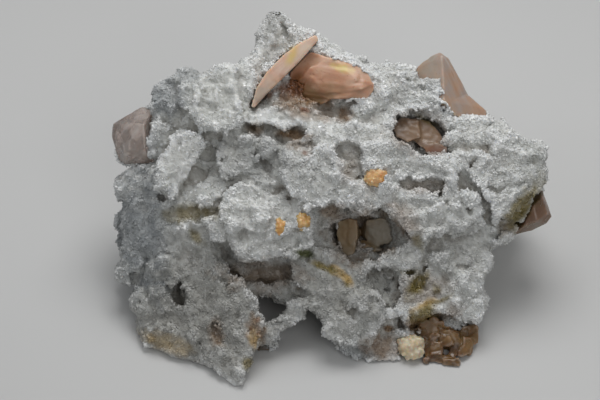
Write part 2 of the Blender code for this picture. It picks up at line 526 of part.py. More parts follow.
def add_remesh(obj, voxel):
    """Add a voxel remesh to an object."""
    remesh = obj.modifiers.new("even skin", "REMESH")
    remesh.mode = "VOXEL"
    remesh.voxel_size = voxel


def add_cut(obj, cutter, name, operation="DIFFERENCE"):
    """Add an exact Boolean to an object."""
    cut = obj.modifiers.new(name, "BOOLEAN")
    cut.operation = operation
    cut.solver = "EXACT"
    cut.object = cutter


def add_grain(obj, name, scale, strength, kind="CLOUDS"):
    """Roughen an object along its normals with a noise of one size in millimetres."""
    texture = bpy.data.textures.new(name, kind)
    texture.noise_scale = scale * MM
    if kind == "CLOUDS":
        texture.noise_depth = 2
    grain = obj.modifiers.new(name, "DISPLACE")
    grain.texture = texture
    grain.texture_coords = "LOCAL"
    grain.strength = strength * MM
    grain.mid_level = 0.5


def fused_blocks(name, blocks, material, frame):
    """Return one crystal group made of convex blocks joined by exact unions."""
    obj = new_object(name, block_mesh(blocks[0]), None, frame)
    others = []
    for index, corners in enumerate(blocks[1:]):
        other = new_object(f"{name}_block_{index}", block_mesh(corners), None, frame)
        add_cut(obj, make_cutter(other), f"join {index}", "UNION")
        others.append(other)
    obj = baked(obj, name, material, frame)
    for other in others:
        bpy.data.objects.remove(other, do_unlink=True)
    return obj


def add_sockets(obj, blocks, frame, label):
    """Cut slightly larger copies of convex blocks out of an object."""
    for index, corners in enumerate(blocks):
        cutter = new_object(f"socket_{label}_{index}", block_mesh(corners, SOCKET_GAP), None, frame)
        add_cut(obj, make_cutter(cutter), f"socket {label} {index}")


def ball_form(middle, radii):
    """Return a bmesh of a small ball of crystal grown together from lumps."""
    rng = random.Random(SEED + int(middle[0] * 10))
    bm = bmesh.new()
    x, z, depth = middle
    add_lump(bm, face_point(x, z, depth), radii)
    for _ in range(9):
        side = Vector((rng.uniform(-1, 1), rng.uniform(-1, 0.2), rng.uniform(-1, 1))).normalized()
        share = rng.uniform(0.34, 0.46)
        place = face_point(x + side.x * radii[0] * 0.75, z + side.z * radii[2] * 0.75,
                           depth + side.y * radii[1] * 0.75)
        add_lump(bm, place, [radius * share for radius in radii])
    return bm


def make_ball(name, middle, radii, material, frame):
    """Return one small ball of crystal."""
    ball = new_object(name, ball_form(middle, radii), None, frame)
    add_remesh(ball, BALL_VOXEL)
    ball = baked(ball, name, None, frame)
    add_thinning(ball, BALL_TRIANGLES)
    return baked(ball, name, material, frame)


def make_matrix(frame):
    """Return the chalcedony mass without its sockets."""
    hollows = new_object("hollows", hollow_form(), None, frame)
    add_remesh(hollows, VOXEL)
    hollows = make_cutter(baked(hollows, "hollow_forms", None, frame))
    walls = []
    for index, (corner, turn_z, tilt) in enumerate(BACK_WALLS):
        wall = new_object(f"behind_wall_{index}", half_space_form(corner, turn_z, tilt), None, None)
        walls.append(make_cutter(wall))
    deep = new_object("deep_mass", core_form(), None, frame)
    add_remesh(deep, VOXEL)
    for index, wall in enumerate(walls):
        add_cut(deep, wall, f"back wall {index}")
    add_cut(deep, hollows, "hollow out")
    deep = baked(deep, "deep_mass", None, frame)
    joined = back_form(deep, random.Random(SEED + 1))
    joined.from_mesh(deep.data)
    for item in [deep, hollows] + walls:
        bpy.data.objects.remove(item, do_unlink=True)
    matrix = new_object("matrix_skin", joined, None, frame)
    add_remesh(matrix, VOXEL)
    add_grain(matrix, "swells", 7.0, 1.6)
    add_grain(matrix, "bumps", 3.0, 1.4)
    matrix = baked(matrix, "matrix_skin", None, frame)
    keep_largest(matrix)
    return matrix


def add_thinning(obj, triangles):
    """Add a Decimate that leaves about a number of triangles."""
    obj.data.calc_loop_triangles()
    thin = obj.modifiers.new("fewer triangles", "DECIMATE")
    thin.ratio = triangles / len(obj.data.loop_triangles)
    thin.use_collapse_triangulate = True
    return thin


def thin_out(obj, triangles):
    """Reduce an object to a number of triangles, keeping the face the finest."""
    group = obj.vertex_groups.new(name="rear")
    for vert in obj.data.vertices:
        rear = vert.co.y > 27.0 * MM or vert.normal.y > 0.35
        group.add([vert.index], 1.0 if rear else FACE_SHARE, "REPLACE")
    thin = add_thinning(obj, triangles)
    thin.vertex_group = group.name
    thin.vertex_group_factor = 1.0


def set_on_origin(frame, pieces):
    """Move the leaning frame, so that the base is centred on the origin."""
    bpy.context.view_layer.update()
    points = [piece.matrix_world @ vert.co for piece in pieces for vert in piece.data.vertices]
    for axis in (0, 1):
        values = [point[axis] for point in points]
        frame.location[axis] = -0.5 * (min(values) + max(values))
    bpy.context.view_layer.update()


def main():
    """Build the specimen."""
    clear_scene()
    frame = bpy.data.objects.new("specimen_frame", None)
    frame.rotation_euler.x = -FACE_LEAN
    bpy.context.scene.collection.objects.link(frame)
    bpy.context.view_layer.update()
    stone = make_material("chalcedony", (0.62, 0.63, 0.62), 0.45)
    peach = make_material("peach stilbite", (0.72, 0.46, 0.33), 0.30, 0.15)
    glass = make_material("glassy stilbite", (0.62, 0.52, 0.48), 0.15, 0.5)
    brown = make_material("brown stilbite", (0.34, 0.19, 0.09), 0.30, 0.2)
    amber = make_material("orange crystal balls", (0.66, 0.40, 0.13), 0.40)
    cream = make_material("cream crystal balls", (0.70, 0.58, 0.36), 0.45)
    finishes = {"amber": amber, "cream": cream}

    groups = (
        ("stilbite_fan", FAN_BLOCKS, peach),
        ("stilbite_crystal_top_right", TOP_RIGHT_BLOCKS, peach),
        ("stilbite_crystal_left", LEFT_BLOCKS, glass),
        ("stilbite_crystal_right", RIGHT_BLOCKS, brown),
        ("stilbite_crystals_in_hollow", HOLLOW_BLOCKS, brown),
        ("stilbite_crystals_in_pocket", POCKET_BLOCKS, brown),
        ("stilbite_cluster_lower_right", CLUSTER_BLOCKS, brown),
        ("glassy_disc_crystal", DISC_BLOCKS, glass),
    )
    pieces = []
    by_name = {}
    matrix = make_matrix(frame)
    thin_out(matrix, MATRIX_TRIANGLES)
    floor = make_cutter(new_object("below_base", floor_form(), None, None))
    add_cut(matrix, floor, "flat base")
    low_floor = make_cutter(new_object("below_crystals", floor_form(SOCKET_GAP), None, None))
    for name, blocks, finish in groups:
        piece = fused_blocks(name, blocks, finish, frame)
        add_cut(piece, low_floor, "clear of the floor")
        add_sockets(matrix, blocks, frame, name)
        pieces.append(piece)
        by_name[name] = piece
    blade_form = bmesh.new()
    add_slab(blade_form, BLADE)
    blade = new_object("stilbite_blade", blade_form, peach, frame)
    pieces.append(blade)
    blade_socket_form = bmesh.new()
    add_slab(blade_socket_form, BLADE)
    grow_mesh(blade_socket_form, SOCKET_GAP)
    blade_socket = make_cutter(new_object("socket_blade", blade_socket_form, None, frame))
    add_cut(matrix, blade_socket, "socket blade")
    add_cut(by_name["stilbite_fan"], blade_socket, "beside the blade")
    for name, middle, radii, finish in BALLS:
        ball = make_ball(name, middle, radii, finishes[finish], frame)
        pieces.append(ball)
        socket_form = bmesh.new()
        socket_form.from_mesh(ball.data)
        grow_mesh(socket_form, SOCKET_GAP)
        socket = make_cutter(new_object(f"socket_{name}", socket_form, None, frame))
        add_cut(matrix, socket, f"socket {name}")
        if name == "cream_cluster":
            add_cut(by_name["stilbite_cluster_lower_right"], socket, "beside the cream cluster")
    matrix = baked(matrix, "chalcedony_matrix", stone, frame)
    keep_largest(matrix)
    pieces.append(matrix)
    set_on_origin(frame, pieces)
    for cutter in (floor, low_floor):
        cutter.location = frame.location


main()
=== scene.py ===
"""Looks of a stilbite on chalcedony specimen: sugary druse, peach crystals and a soft studio.

The druse is grown from the solid of the chalcedony. A distance field of it gets listed
plates, ribs and grooves that follow the real face, ragged edges, ledges and nubs, and small
quartz points stand on the resulting skin. The crystals and balls are ribbed in the same way.
"""

import logging
import math
from dataclasses import dataclass, field
from enum import Enum

import bpy
import numpy as np
import openvdb as vdb
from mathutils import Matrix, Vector


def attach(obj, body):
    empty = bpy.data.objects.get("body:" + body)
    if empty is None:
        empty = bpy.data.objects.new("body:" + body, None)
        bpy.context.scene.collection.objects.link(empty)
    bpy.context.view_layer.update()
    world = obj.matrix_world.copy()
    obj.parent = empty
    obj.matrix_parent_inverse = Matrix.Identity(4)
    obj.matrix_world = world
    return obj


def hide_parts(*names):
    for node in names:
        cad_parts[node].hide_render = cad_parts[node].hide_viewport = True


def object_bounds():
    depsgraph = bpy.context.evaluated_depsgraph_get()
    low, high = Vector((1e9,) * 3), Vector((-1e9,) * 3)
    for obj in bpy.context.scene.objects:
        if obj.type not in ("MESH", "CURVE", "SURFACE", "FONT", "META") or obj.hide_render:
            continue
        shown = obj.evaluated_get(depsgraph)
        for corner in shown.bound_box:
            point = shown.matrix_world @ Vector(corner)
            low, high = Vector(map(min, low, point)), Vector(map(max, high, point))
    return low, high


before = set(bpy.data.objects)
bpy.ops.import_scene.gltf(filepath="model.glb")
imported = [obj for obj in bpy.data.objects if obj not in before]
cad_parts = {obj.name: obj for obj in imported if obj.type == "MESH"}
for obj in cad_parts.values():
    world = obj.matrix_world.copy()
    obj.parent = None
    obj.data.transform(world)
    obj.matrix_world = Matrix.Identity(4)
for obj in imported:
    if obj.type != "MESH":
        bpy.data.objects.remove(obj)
CAD_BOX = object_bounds()

LOG = logging.getLogger("specimen")
MM = 0.001


@dataclass(frozen=True)
class FaceFrame:
    """The leaning frame of the drusy face, in millimetres: x right, depth inward, z up the face."""

    lean: float = math.radians(40.0)
    origin: tuple = (-0.078, -44.700, 0.0)
    reach: float = 700.0
    middle_x: float = -9.0
    middle_z: float = 52.6

    def to_face(self, world: np.ndarray) -> np.ndarray:
        """Turn standing points in metres into face points.

        Args:
            world: points in metres, one row each.

        Returns:
            Rows of x, depth and z in millimetres.
        """
        local = world / MM - np.array(self.origin)
        cosine, sine = math.cos(self.lean), math.sin(self.lean)
        depth = local[:, 1] * cosine - local[:, 2] * sine
        height = local[:, 1] * sine + local[:, 2] * cosine
        return np.column_stack((local[:, 0], depth, height))

    def to_world(self, face: np.ndarray) -> np.ndarray:
        """Turn face points in millimetres into standing points in metres.

        Args:
            face: rows of x, depth and z.

        Returns:
            Points in metres.
        """
        cosine, sine = math.cos(self.lean), math.sin(self.lean)
        across = face[:, 1] * cosine + face[:, 2] * sine
        up = -face[:, 1] * sine + face[:, 2] * cosine
        return (np.column_stack((face[:, 0], across, up)) + np.array(self.origin)) * MM

    def spread(self, x: float, z: float, depth: float) -> np.ndarray:
        """Return the face point that is seen at x and z and lies at a depth.

        Args:
            x: where it is seen across.
            z: where it is seen up the face.
            depth: how deep it lies.

        Returns:
            Its x, depth and z.
        """
        grow = 1.0 + depth / self.reach
        return np.array((self.middle_x + (x - self.middle_x) * grow, depth,
                         self.middle_z + (z - self.middle_z) * grow))

    def seen_columns(self, across: np.ndarray, up: np.ndarray, depth: object) -> tuple:
        """Return where columns that run inward are seen, given how deep they begin.

        Args:
            across: coordinates across.
            up: coordinates up the face.
            depth: how deep the columns begin.

        Returns:
            The seen coordinates across and up.
        """
        grow = 1.0 + depth / self.reach
        return (self.middle_x + (across - self.middle_x) / grow,
                self.middle_z + (up - self.middle_z) / grow)

    def seen(self, face: np.ndarray) -> np.ndarray:
        """Return where face points are seen.

        Args:
            face: rows of x, depth and z.

        Returns:
            Rows of x and z at the foremost plane.
        """
        shrink = 1.0 / (1.0 + face[:, 1] / self.reach)
        return np.column_stack((self.middle_x + (face[:, 0] - self.middle_x) * shrink,
                                self.middle_z + (face[:, 2] - self.middle_z) * shrink))


FACE = FaceFrame()
STAINED_DEPTH = 34.0
BOX_MARGIN = 0.00002
HASH_FACTORS = (73856093, 19349663, 83492791)
HASH_SEED_FACTOR = 2654435
HASH_OFFSET = 97
HASH_STIR = 1274126177
HASH_MASK = 0xFFFFFF


class Relief(Enum):
    """What a listed stroke does to the skin."""

    RAISE = "raise"
    SINK = "sink"


@dataclass(frozen=True)
class Stroke:
    """A rounded rib or groove along seen points, with its half width."""

    kind: Relief
    path: tuple
    radius: float


def rib(radius: float, *path: tuple) -> Stroke:
    """Return a raised stroke."""
    return Stroke(Relief.RAISE, path, radius)


def groove(radius: float, *path: tuple) -> Stroke:
    """Return a sunken stroke."""
    return Stroke(Relief.SINK, path, radius)


@dataclass(frozen=True)
class Plate:
    """A ragged flat area of the face that stands out from, or lies behind, what is around it."""

    kind: Relief
    step: float
    outline: tuple


def raised(step: float, *outline: tuple) -> Plate:
    """Return a plate that stands out."""
    return Plate(Relief.RAISE, step, outline)


def sunken(step: float, *outline: tuple) -> Plate:
    """Return a plate that lies behind."""
    return Plate(Relief.SINK, step, outline)


PLATES = (
    raised(1.8, (-42.8, 80.5), (-42.6, 83.8), (-40, 85.8), (-37, 87.6), (-34, 88.6), (-31, 90.4),
           (-27.2, 90.2), (-26.4, 88), (-26, 84), (-26.2, 75), (-28, 72.6), (-30, 71), (-33, 73),
           (-36, 74), (-39, 76.5), (-41, 79)),
    raised(0.8, (-31.5, 84.5), (-28, 85.5), (-26.5, 82), (-27.5, 80), (-30, 81)),
    raised(0.7, (-49.8, 79.6), (-47, 80.8), (-43.5, 79.6), (-41.8, 77), (-43.5, 75.2), (-46, 74.8),
           (-49, 75.6)),
    raised(0.6, (-53, 65.8), (-51, 66.5), (-50.6, 69.8), (-49, 72.3), (-46, 73.6), (-44, 72),
           (-46, 69), (-46.4, 66), (-48, 64.5), (-52, 64.4)),
    raised(1.5, (-46.2, 66), (-48.2, 63.4), (-48.8, 61), (-49.2, 56), (-46.4, 55.5), (-45.5, 53.4),
           (-43, 55), (-42.2, 57.4), (-40.8, 59), (-39.4, 61.6), (-38, 64), (-36.4, 66), (-35, 69),
           (-37, 71), (-41, 71.5), (-45, 70)),
    raised(0.8, (-32.6, 69.5), (-29, 67), (-26, 70), (-22.5, 69.6), (-21.6, 66.5), (-21, 63),
           (-23, 60.5), (-28, 60), (-31, 61.4), (-32.6, 64)),
    raised(1.0, (-26.2, 70), (-24, 70.2), (-22.2, 69), (-21.4, 66), (-24, 65), (-26, 66)),
    sunken(1.2, (-36.2, 65.2), (-35, 67), (-33.4, 68.6), (-32.8, 66.4), (-32.9, 63.8), (-35.2, 63),
           (-37.6, 64.6)),
    sunken(1.0, (-39.6, 62), (-36.6, 61.6), (-34, 60.8), (-34, 58), (-37, 57.2), (-38.8, 57),
           (-40.8, 58.6), (-39.2, 60.4)),
    raised(0.7, (-42, 57.4), (-39, 56.4), (-36, 57.2), (-33, 59.6), (-29, 59.6), (-27, 58),
           (-29, 54.6), (-33, 52.4), (-38, 53.4), (-40.5, 52.2), (-42, 53.6)),
    sunken(1.8, (-48.6, 55.4), (-47, 54.6), (-46, 53.4), (-47.2, 52.2), (-48.4, 53.4)),
    sunken(1.0, (-46, 50.2), (-44, 51), (-38, 50.8), (-34, 50.6), (-30.6, 50.2), (-31.4, 47.2),
           (-35.6, 47.4), (-37.4, 46.4), (-40, 47.2), (-45, 47)),
    raised(0.8, (-31.2, 49), (-29.5, 51), (-28.4, 54.6), (-26.4, 57.4), (-22, 57.6), (-20, 55.4),
           (-17, 54.4), (-13, 56), (-12, 53), (-9, 51.8), (-7, 49.8), (-6, 48.6), (-6.4, 46),
           (-7.2, 44), (-10, 44.6), (-13.4, 44.6), (-13.8, 42.6), (-17, 41), (-20, 43), (-26, 45),
           (-30.4, 46.4)),
    raised(0.6, (-36, 47), (-33, 47.4), (-31, 46.8), (-26, 45), (-20, 43), (-16.8, 41), (-15, 38.6),
           (-18, 36.8), (-24.4, 35.8), (-26, 37.2), (-28, 39), (-29.4, 40.4), (-33, 41), (-34, 44)),
    sunken(1.0, (-16.8, 41.6), (-13.6, 42.6), (-9.6, 45), (-7, 44), (-5, 41), (-7, 39.4),
           (-10, 38.8), (-13, 36.4), (-15, 38)),
    raised(0.8, (-59.8, 31), (-59.5, 36), (-56, 37), (-53, 34.6), (-54, 32.2), (-56.4, 32)),
    sunken(1.4, (-56.6, 31.8), (-54.8, 32.8), (-53.9, 30.6), (-54.4, 28.6), (-57, 28.6)),
    sunken(0.8, (-53.6, 37.2), (-50.8, 36.6), (-51.4, 34.4), (-53.4, 33)),
    sunken(2.4, (-44.2, 28.2), (-43, 29.4), (-42, 28.4), (-40.3, 27.8), (-40.2, 25.4),
           (-40.6, 23.4), (-41.6, 22), (-42.6, 22.6), (-44, 23.8), (-45.4, 25.8)),
    raised(0.9, (-42.8, 27.4), (-41.4, 27.6), (-40.4, 25), (-41.4, 23.4), (-42.8, 25)),
    sunken(0.8, (-49.6, 25), (-48.8, 26.4), (-47.6, 26), (-47.8, 24.6), (-49, 24.2)),
    sunken(0.8, (-34.8, 18), (-33, 18.6), (-31.4, 16.4), (-30.6, 14), (-31.2, 12.2), (-32.6, 13),
           (-34, 15.4)),
    raised(0.6, (-37, 12), (-34, 12), (-31.6, 12.4), (-29, 10), (-27, 6), (-25, 4), (-27, 1),
           (-31, 3), (-35, 7), (-37, 9.4)),
    sunken(0.7, (-28.8, 10.2), (-26, 10), (-25.4, 7.6), (-27.4, 7)),
    sunken(0.6, (-27, 21.8), (-25.8, 22), (-25.6, 19.4), (-26.8, 19), (-28, 19.8)),
    sunken(0.8, (-14.8, 102.4), (-13, 102.2), (-12.2, 100), (-12.2, 98.4), (-13.6, 97.4), (-14.6, 99)),
    raised(1.3, (-24, 78), (-20, 78.6), (-12, 79.6), (-8, 77.2), (-6.4, 76.2), (-4, 74), (-2, 74),
           (0, 76), (3, 74), (5, 73.6), (3, 69.6), (0.8, 68.4), (-4, 70), (-7, 70), (-7.4, 71.6),
           (-9.8, 72.4), (-13, 72), (-16, 73.4), (-20, 74.4), (-24, 74.6)),
    sunken(1.0, (-23.8, 73.8), (-22.4, 74.4), (-21.2, 73.4), (-20.8, 71.8), (-19.2, 70.6),
           (-19.4, 68.6), (-21.6, 71.2), (-23.4, 72)),
    sunken(0.8, (-19.8, 74.2), (-17.2, 73.4), (-16.6, 72.6), (-18, 72.2), (-19.4, 72.8)),
    sunken(1.2, (-15.8, 70.6), (-12.6, 70.8), (-12.6, 72), (-10.6, 72.2), (-8, 71.2), (-7.4, 69.6),
           (-11, 69.4), (-12.4, 68), (-14, 67), (-15.2, 68.6)),
    sunken(1.2, (-9, 66.8), (-8, 66.6), (-6, 65.4), (-8, 64.6), (-8.8, 65.4)),
    sunken(1.0, (-12.6, 69), (-8, 69.4), (-5, 69), (-4.2, 67.6), (-5.6, 66), (-10, 66)),
    raised(1.7, (-14, 67.2), (-11, 66.4), (-8.4, 64), (-6, 65), (-4.8, 66.8), (-2, 67.8),
           (0.4, 67.6), (0.8, 65), (2.8, 62), (2.6, 59.4), (4.4, 58), (7, 57), (9.4, 56.6),
           (10.4, 53), (9, 50.6), (3.4, 50.2), (0, 52), (-4, 51), (-7, 50), (-9, 51.8),
           (-12.2, 53), (-13.6, 57), (-14.2, 61.4)),
    sunken(0.7, (0.8, 68), (2.4, 68.4), (3.4, 66.4), (5.4, 62), (7.2, 59.6), (7.6, 57.8),
           (6.4, 57.2), (2.6, 59), (3.2, 62), (1.2, 64.4)),
    sunken(0.9, (-20.4, 64), (-18.4, 64), (-17, 62), (-16.4, 60.4), (-18.6, 60.8)),
    sunken(1.2, (-4, 50.6), (-2, 51), (0, 52), (2.4, 50.2), (0.4, 48.6), (-2, 46.8), (-3.2, 45.8),
           (-4.2, 47)),
    sunken(0.8, (-9.6, 38.6), (-7, 38.8), (-5.8, 37.2), (-7, 35.8), (-9, 36.4)),
    raised(1.2, (-3.2, 15.6), (-1, 17.8), (1.4, 20), (5.6, 19.4), (7.6, 22.4), (9.4, 23.8),
           (12.4, 23), (14.2, 23.4), (14.6, 21.6), (18, 22.2), (20, 21), (17, 19.6), (13, 18.4),
           (11, 17), (9.4, 15.4), (9.4, 13), (8.6, 12), (5, 12.4), (2.4, 13), (0.8, 13.9)),
    raised(0.7, (2.4, 26), (5, 26.6), (8.6, 25), (9.4, 23.8), (7.4, 22.4), (4, 21), (1.6, 21)),
    sunken(0.6, (9.6, 33.4), (9.8, 30.4), (12, 28.4), (12.6, 26.8), (15, 26.6), (16.6, 27.4),
           (15.6, 29.4), (15.8, 31), (14, 32), (11.6, 32.2)),
    raised(0.9, (22, 88), (24, 86), (28, 86.4), (30.6, 85.6), (31, 81), (30, 79), (27, 77.6),
           (24, 78.4), (21, 78.4), (18.6, 80), (17, 84), (19, 88)),
    raised(1.0, (36, 72), (35.4, 74.4), (37.6, 76), (43, 75.6), (45, 72), (42, 68), (38, 67)),
    raised(0.5, (12, 67.6), (18, 69.4), (21, 68.6), (25.6, 65.4), (32, 64.6), (33.4, 61), (32, 59.4),
           (24, 58.6), (16, 59), (13, 62)),
    sunken(0.9, (16.6, 58), (21.6, 58.4), (24.4, 56.8), (27, 58), (32.4, 58.8), (32, 56.6),
           (28, 55), (26.4, 53.6), (26, 55.4), (24, 56), (21.4, 54.8), (20.8, 56.4)),
    sunken(0.7, (34, 60.4), (35, 61.6), (37.6, 61.8), (38.6, 57.6), (40.2, 55.8), (38.2, 54.8),
           (36.4, 55.8)),
    raised(0.6, (40, 60.6), (42, 64.6), (46, 65), (48, 61), (52, 60), (54, 58), (50, 56.6),
           (44, 57), (40.6, 57)),
    raised(0.6, (26, 50), (31, 52), (37, 51), (42, 48), (44, 45), (40, 43), (34, 42), (29, 45)),
    sunken(1.0, (56, 57), (54.6, 54), (51, 49.4), (47, 45.6), (44.6, 42.6), (46.6, 41.4),
           (50, 44.4), (53.6, 47.6), (57.6, 54.6)),
    sunken(1.0, (20.2, 33), (23.8, 33.6), (22, 31.6), (20.4, 31.4)),
    sunken(1.2, (22.4, 30.4), (24.4, 32), (25.6, 34.2), (27, 34.8), (27.8, 33.6), (25.2, 31),
           (24.8, 29.4), (26, 27.2), (25, 26.8), (24, 28), (22, 28.6)),
    sunken(1.0, (28.4, 27.8), (29.8, 28), (30, 26), (28.8, 26)),
    raised(0.7, (33, 33), (36, 38), (40, 40), (43, 38), (44, 34), (41, 31), (36, 30)),
    raised(0.7, (34, 19.6), (36, 24), (39, 26), (42, 24.6), (42, 20), (40.6, 18.4), (37, 18.8)),
)

OPEN_HOLLOWS = (
    ((-2, 44.5), (3, 47.7), (9.5, 49.7), (13, 50.0), (16, 45.5), (16.6, 41), (14.2, 36.2),
     (5.5, 34.5), (2, 38), (0, 43)),
    ((16, 74), (18.5, 77.1), (22, 78), (26, 76), (29.5, 73), (31.5, 68), (31, 65.5), (26, 65.3),
     (22, 68), (18, 70)),
    ((-33, 40), (-28, 38.6), (-24.5, 35.6), (-9, 36), (-9, 30), (-20, 28), (-31, 30)),
    ((-24, 24), (-19.5, 27.5), (-11, 24), (-14, 19.5), (-18.5, 17), (-22, 20)),
    ((-45.5, 26), (-44, 28.5), (-40.2, 28), (-41, 23.5), (-42, 22.3)),
    ((-12, 87), (-4, 92), (6, 90), (12, 86), (11, 80), (4, 80), (-3, 78), (-8, 80), (-13, 83)),
)

CLEAR_VIEWS = (
    ((-4.5, 98.8), (-9, 96.7), (-14, 93), (-18.5, 88.2), (-21.2, 84), (-22.8, 79), (-22, 78.2),
     (-18, 83), (-14, 86.6), (-10.2, 90.2), (-6.2, 94.7), (-3.7, 97.2)),
    ((-12, 88.3), (-6, 94.7), (0, 92.5), (6, 90.5), (8.5, 89.8), (10.3, 87.8), (11.8, 83.5),
     (10, 80.8), (1, 81.8), (-3, 79), (-8, 81)),
    ((24, 91), (30.3, 95), (35.4, 89.5), (39.6, 81), (43.6, 78.6), (44, 75.8), (36, 75.8), (33, 78),
     (31, 80), (30, 86), (24, 86), (23, 88)),
    ((-50, 79.6), (-53, 80), (-63, 75), (-63, 70), (-60.6, 62.6), (-54.6, 60), (-50.4, 62),
     (-51.5, 70), (-50, 74)),
    ((58.4, 56), (56, 54), (55.5, 51), (53.5, 48.5), (51.5, 44.5), (50, 41.6), (57, 43), (62.4, 47),
     (60.6, 53)),
    ((-0.5, 45), (3, 47.7), (7.4, 48.6), (7.6, 42), (6.6, 38), (3, 37.4), (1, 43)),
    ((16, 74), (18.5, 76.4), (24, 75.4), (30, 71), (31, 65.8), (26, 65.6), (22, 68), (18, 70)),
    ((24.6, 9), (24.6, 16), (27.5, 19.6), (31, 17.6), (33.7, 19), (36, 19), (41, 17.6), (40.4, 11),
     (36.5, 5.8), (26, 6.6)),
    ((-16.2, 43), (-16, 47), (-14.4, 47.8), (-12.8, 46.4), (-12.8, 43.4), (-14.6, 42.4)),
    ((-11, 44.6), (-10.8, 48), (-8.4, 49), (-6.4, 47.6), (-6.4, 44.8), (-8.4, 44)),
    ((9, 57.2), (9.6, 60.6), (12, 61.6), (14.8, 60.8), (15.2, 57.6), (12, 56)),
    ((18.4, 7), (18.4, 14), (21, 15.4), (24.8, 14.4), (25.4, 7)),
)

STROKES = (
    rib(0.9, (-38.8, 84), (-37.6, 82), (-37.6, 80), (-38.2, 78), (-36.6, 75.5), (-34.8, 73.4)),
    rib(0.8, (-26.4, 79), (-26.2, 74), (-27.5, 71), (-29.5, 69.8)),
    rib(0.7, (-31, 73), (-29.5, 71)),
    rib(0.6, (-32, 70), (-31.8, 64.6)),
    rib(0.8, (-43.2, 51.4), (-43.2, 49.8)),
    rib(0.9, (-5, 44), (-2.6, 45.2), (0.6, 46.9), (4, 48.7)),
    rib(0.7, (18.6, 70), (20.8, 69.2), (23.2, 67.2), (25.8, 66), (27, 64.8), (32.6, 65)),
    rib(0.8, (45, 46), (47, 49), (49.6, 51.6), (52, 54.6), (54, 56.6)),
    rib(0.6, (24, 29), (23, 26)),
    rib(0.6, (26.6, 31.4), (28.6, 33.4)),
    rib(0.6, (29, 62), (33.4, 60), (34, 56.6), (36, 54)),
    groove(0.45, (-41.6, 22.2), (-40.6, 21.2), (-39.8, 20.6)),
    groove(0.4, (-48, 29.6), (-46.4, 28.4), (-45.6, 26.8)),
    groove(0.4, (-39.6, 18.4), (-38, 17.8), (-37, 15.6), (-36.6, 13.4), (-37.4, 12.2)),
    groove(0.4, (-39.4, 44), (-36.2, 40.4)),
    groove(0.4, (-21.6, 57.8), (-20.4, 56), (-18.6, 54.6), (-16, 54.6), (-14, 56.2)),
    groove(0.45, (-30.8, 30.2), (-29.9, 30.2)),
    groove(0.4, (-29.7, 28.6), (-29.4, 28.3)),
    groove(0.5, (-31.1, 64.2), (-31, 63.8)),
    groove(0.4, (-47, 37.6), (-45.4, 37.8)),
    groove(0.4, (38.8, 61.8), (40.4, 63.8), (42.4, 65.0), (45, 65.6), (46.8, 64.4)),
    groove(0.45, (30, 53.2), (30.6, 53.6)),
    groove(0.45, (32.4, 51.6), (33.2, 51.2)),
    groove(0.45, (38, 50), (38.8, 49.2)),
    groove(0.45, (48, 60.4), (48.6, 60)),
    groove(0.4, (51.6, 57.2), (52.2, 57)),
    groove(0.4, (42, 57), (44, 55.6), (47, 55.2), (48.6, 56.4)),
    groove(0.5, (14.8, 27.6), (15.8, 27.2)),
    groove(0.4, (26.2, 29.8), (27.4, 30.8)),
    groove(0.4, (34.8, 28.8), (35.4, 29.8)),
    groove(0.5, (-26.1, 89.8), (-26.2, 86.6)),
    groove(0.4, (7.2, 73), (7.6, 74), (9.4, 75), (10.6, 76)),
    groove(0.4, (5.4, 72), (8, 71)),
    groove(0.5, (1.4, 74.4), (4.6, 73.4)),
    groove(0.4, (14.2, 78), (15.6, 77.6)),
    groove(0.4, (20.4, 88), (21.6, 86.2), (23.2, 86.6)),
    groove(0.4, (16.6, 30), (18.2, 31.6)),
    groove(0.4, (35.2, 33.6), (37.4, 33.8)),
    groove(0.5, (-12.4, 53.4), (-9, 52), (-7, 50.2)),
    groove(0.4, (24, 85), (28, 83.6), (30.4, 80.6)),
    groove(0.4, (-54, 28.4), (-53.8, 32), (-52.2, 34.4), (-50.6, 36.4)),
)


class StainKind(Enum):
    """The colours that lie on or in the druse, and grey that also paints shade low on the face."""

    OLIVE = "olive"
    RUST = "rust"
    CREAM = "cream"
    BLUE = "blue"
    TAN = "tan"
    GREEN = "green"
    SMOOTH = "smooth"
    # Partly the stone's own grey, partly painted shade low on the face.
    GREY_AND_SHADE = "grey"


@dataclass(frozen=True)
class Stain:
    """A soft-edged ellipse of stain on the seen face: middle, half sizes, turn and strength."""

    x: float
    z: float
    half_x: float
    half_z: float
    turn: float = 0.0
    strength: float = 1.0


def outline_distance(outline: tuple, x: np.ndarray, z: np.ndarray) -> np.ndarray:
    """Return the signed distance to a closed outline, negative inside.

    Args:
        outline: its corners.
        x: coordinates across.
        z: coordinates up, in the same shape.

    Returns:
        The distances.
    """
    least = np.full(x.shape, 1e9, np.float32)
    inside = np.zeros(x.shape, bool)
    for (x0, z0), (x1, z1) in zip(outline, outline[1:] + outline[:1]):
        dx, dz = x1 - x0, z1 - z0
        share = np.clip(((x - x0) * dx + (z - z0) * dz) / (dx * dx + dz * dz), 0.0, 1.0)
        least = np.minimum(least, (x - x0 - share * dx) ** 2 + (z - z0 - share * dz) ** 2)
        if dz != 0.0:
            crossing = ((z0 > z) != (z1 > z)) & (x < x0 + (z - z0) * dx / dz)
            inside ^= crossing
    least = np.sqrt(least)
    return np.where(inside, -least, least).astype(np.float32)


def box_mean(values: np.ndarray, reach: int) -> np.ndarray:
    """Average an array over a cube of cells.

    Args:
        values: a three-dimensional array.
        reach: cells on each side of the middle one.

    Returns:
        The averaged array.
    """
    result = values
    for axis in range(3):
        width = 2 * reach + 1
        pad = [(0, 0)] * 3
        pad[axis] = (reach + 1, reach)
        total = np.cumsum(np.pad(result, pad, mode="edge"), axis=axis, dtype=np.float32)
        high = [slice(None)] * 3
        low = [slice(None)] * 3
        high[axis] = slice(width, None)
        low[axis] = slice(None, -width)
        result = (total[tuple(high)] - total[tuple(low)]) / width
    return result


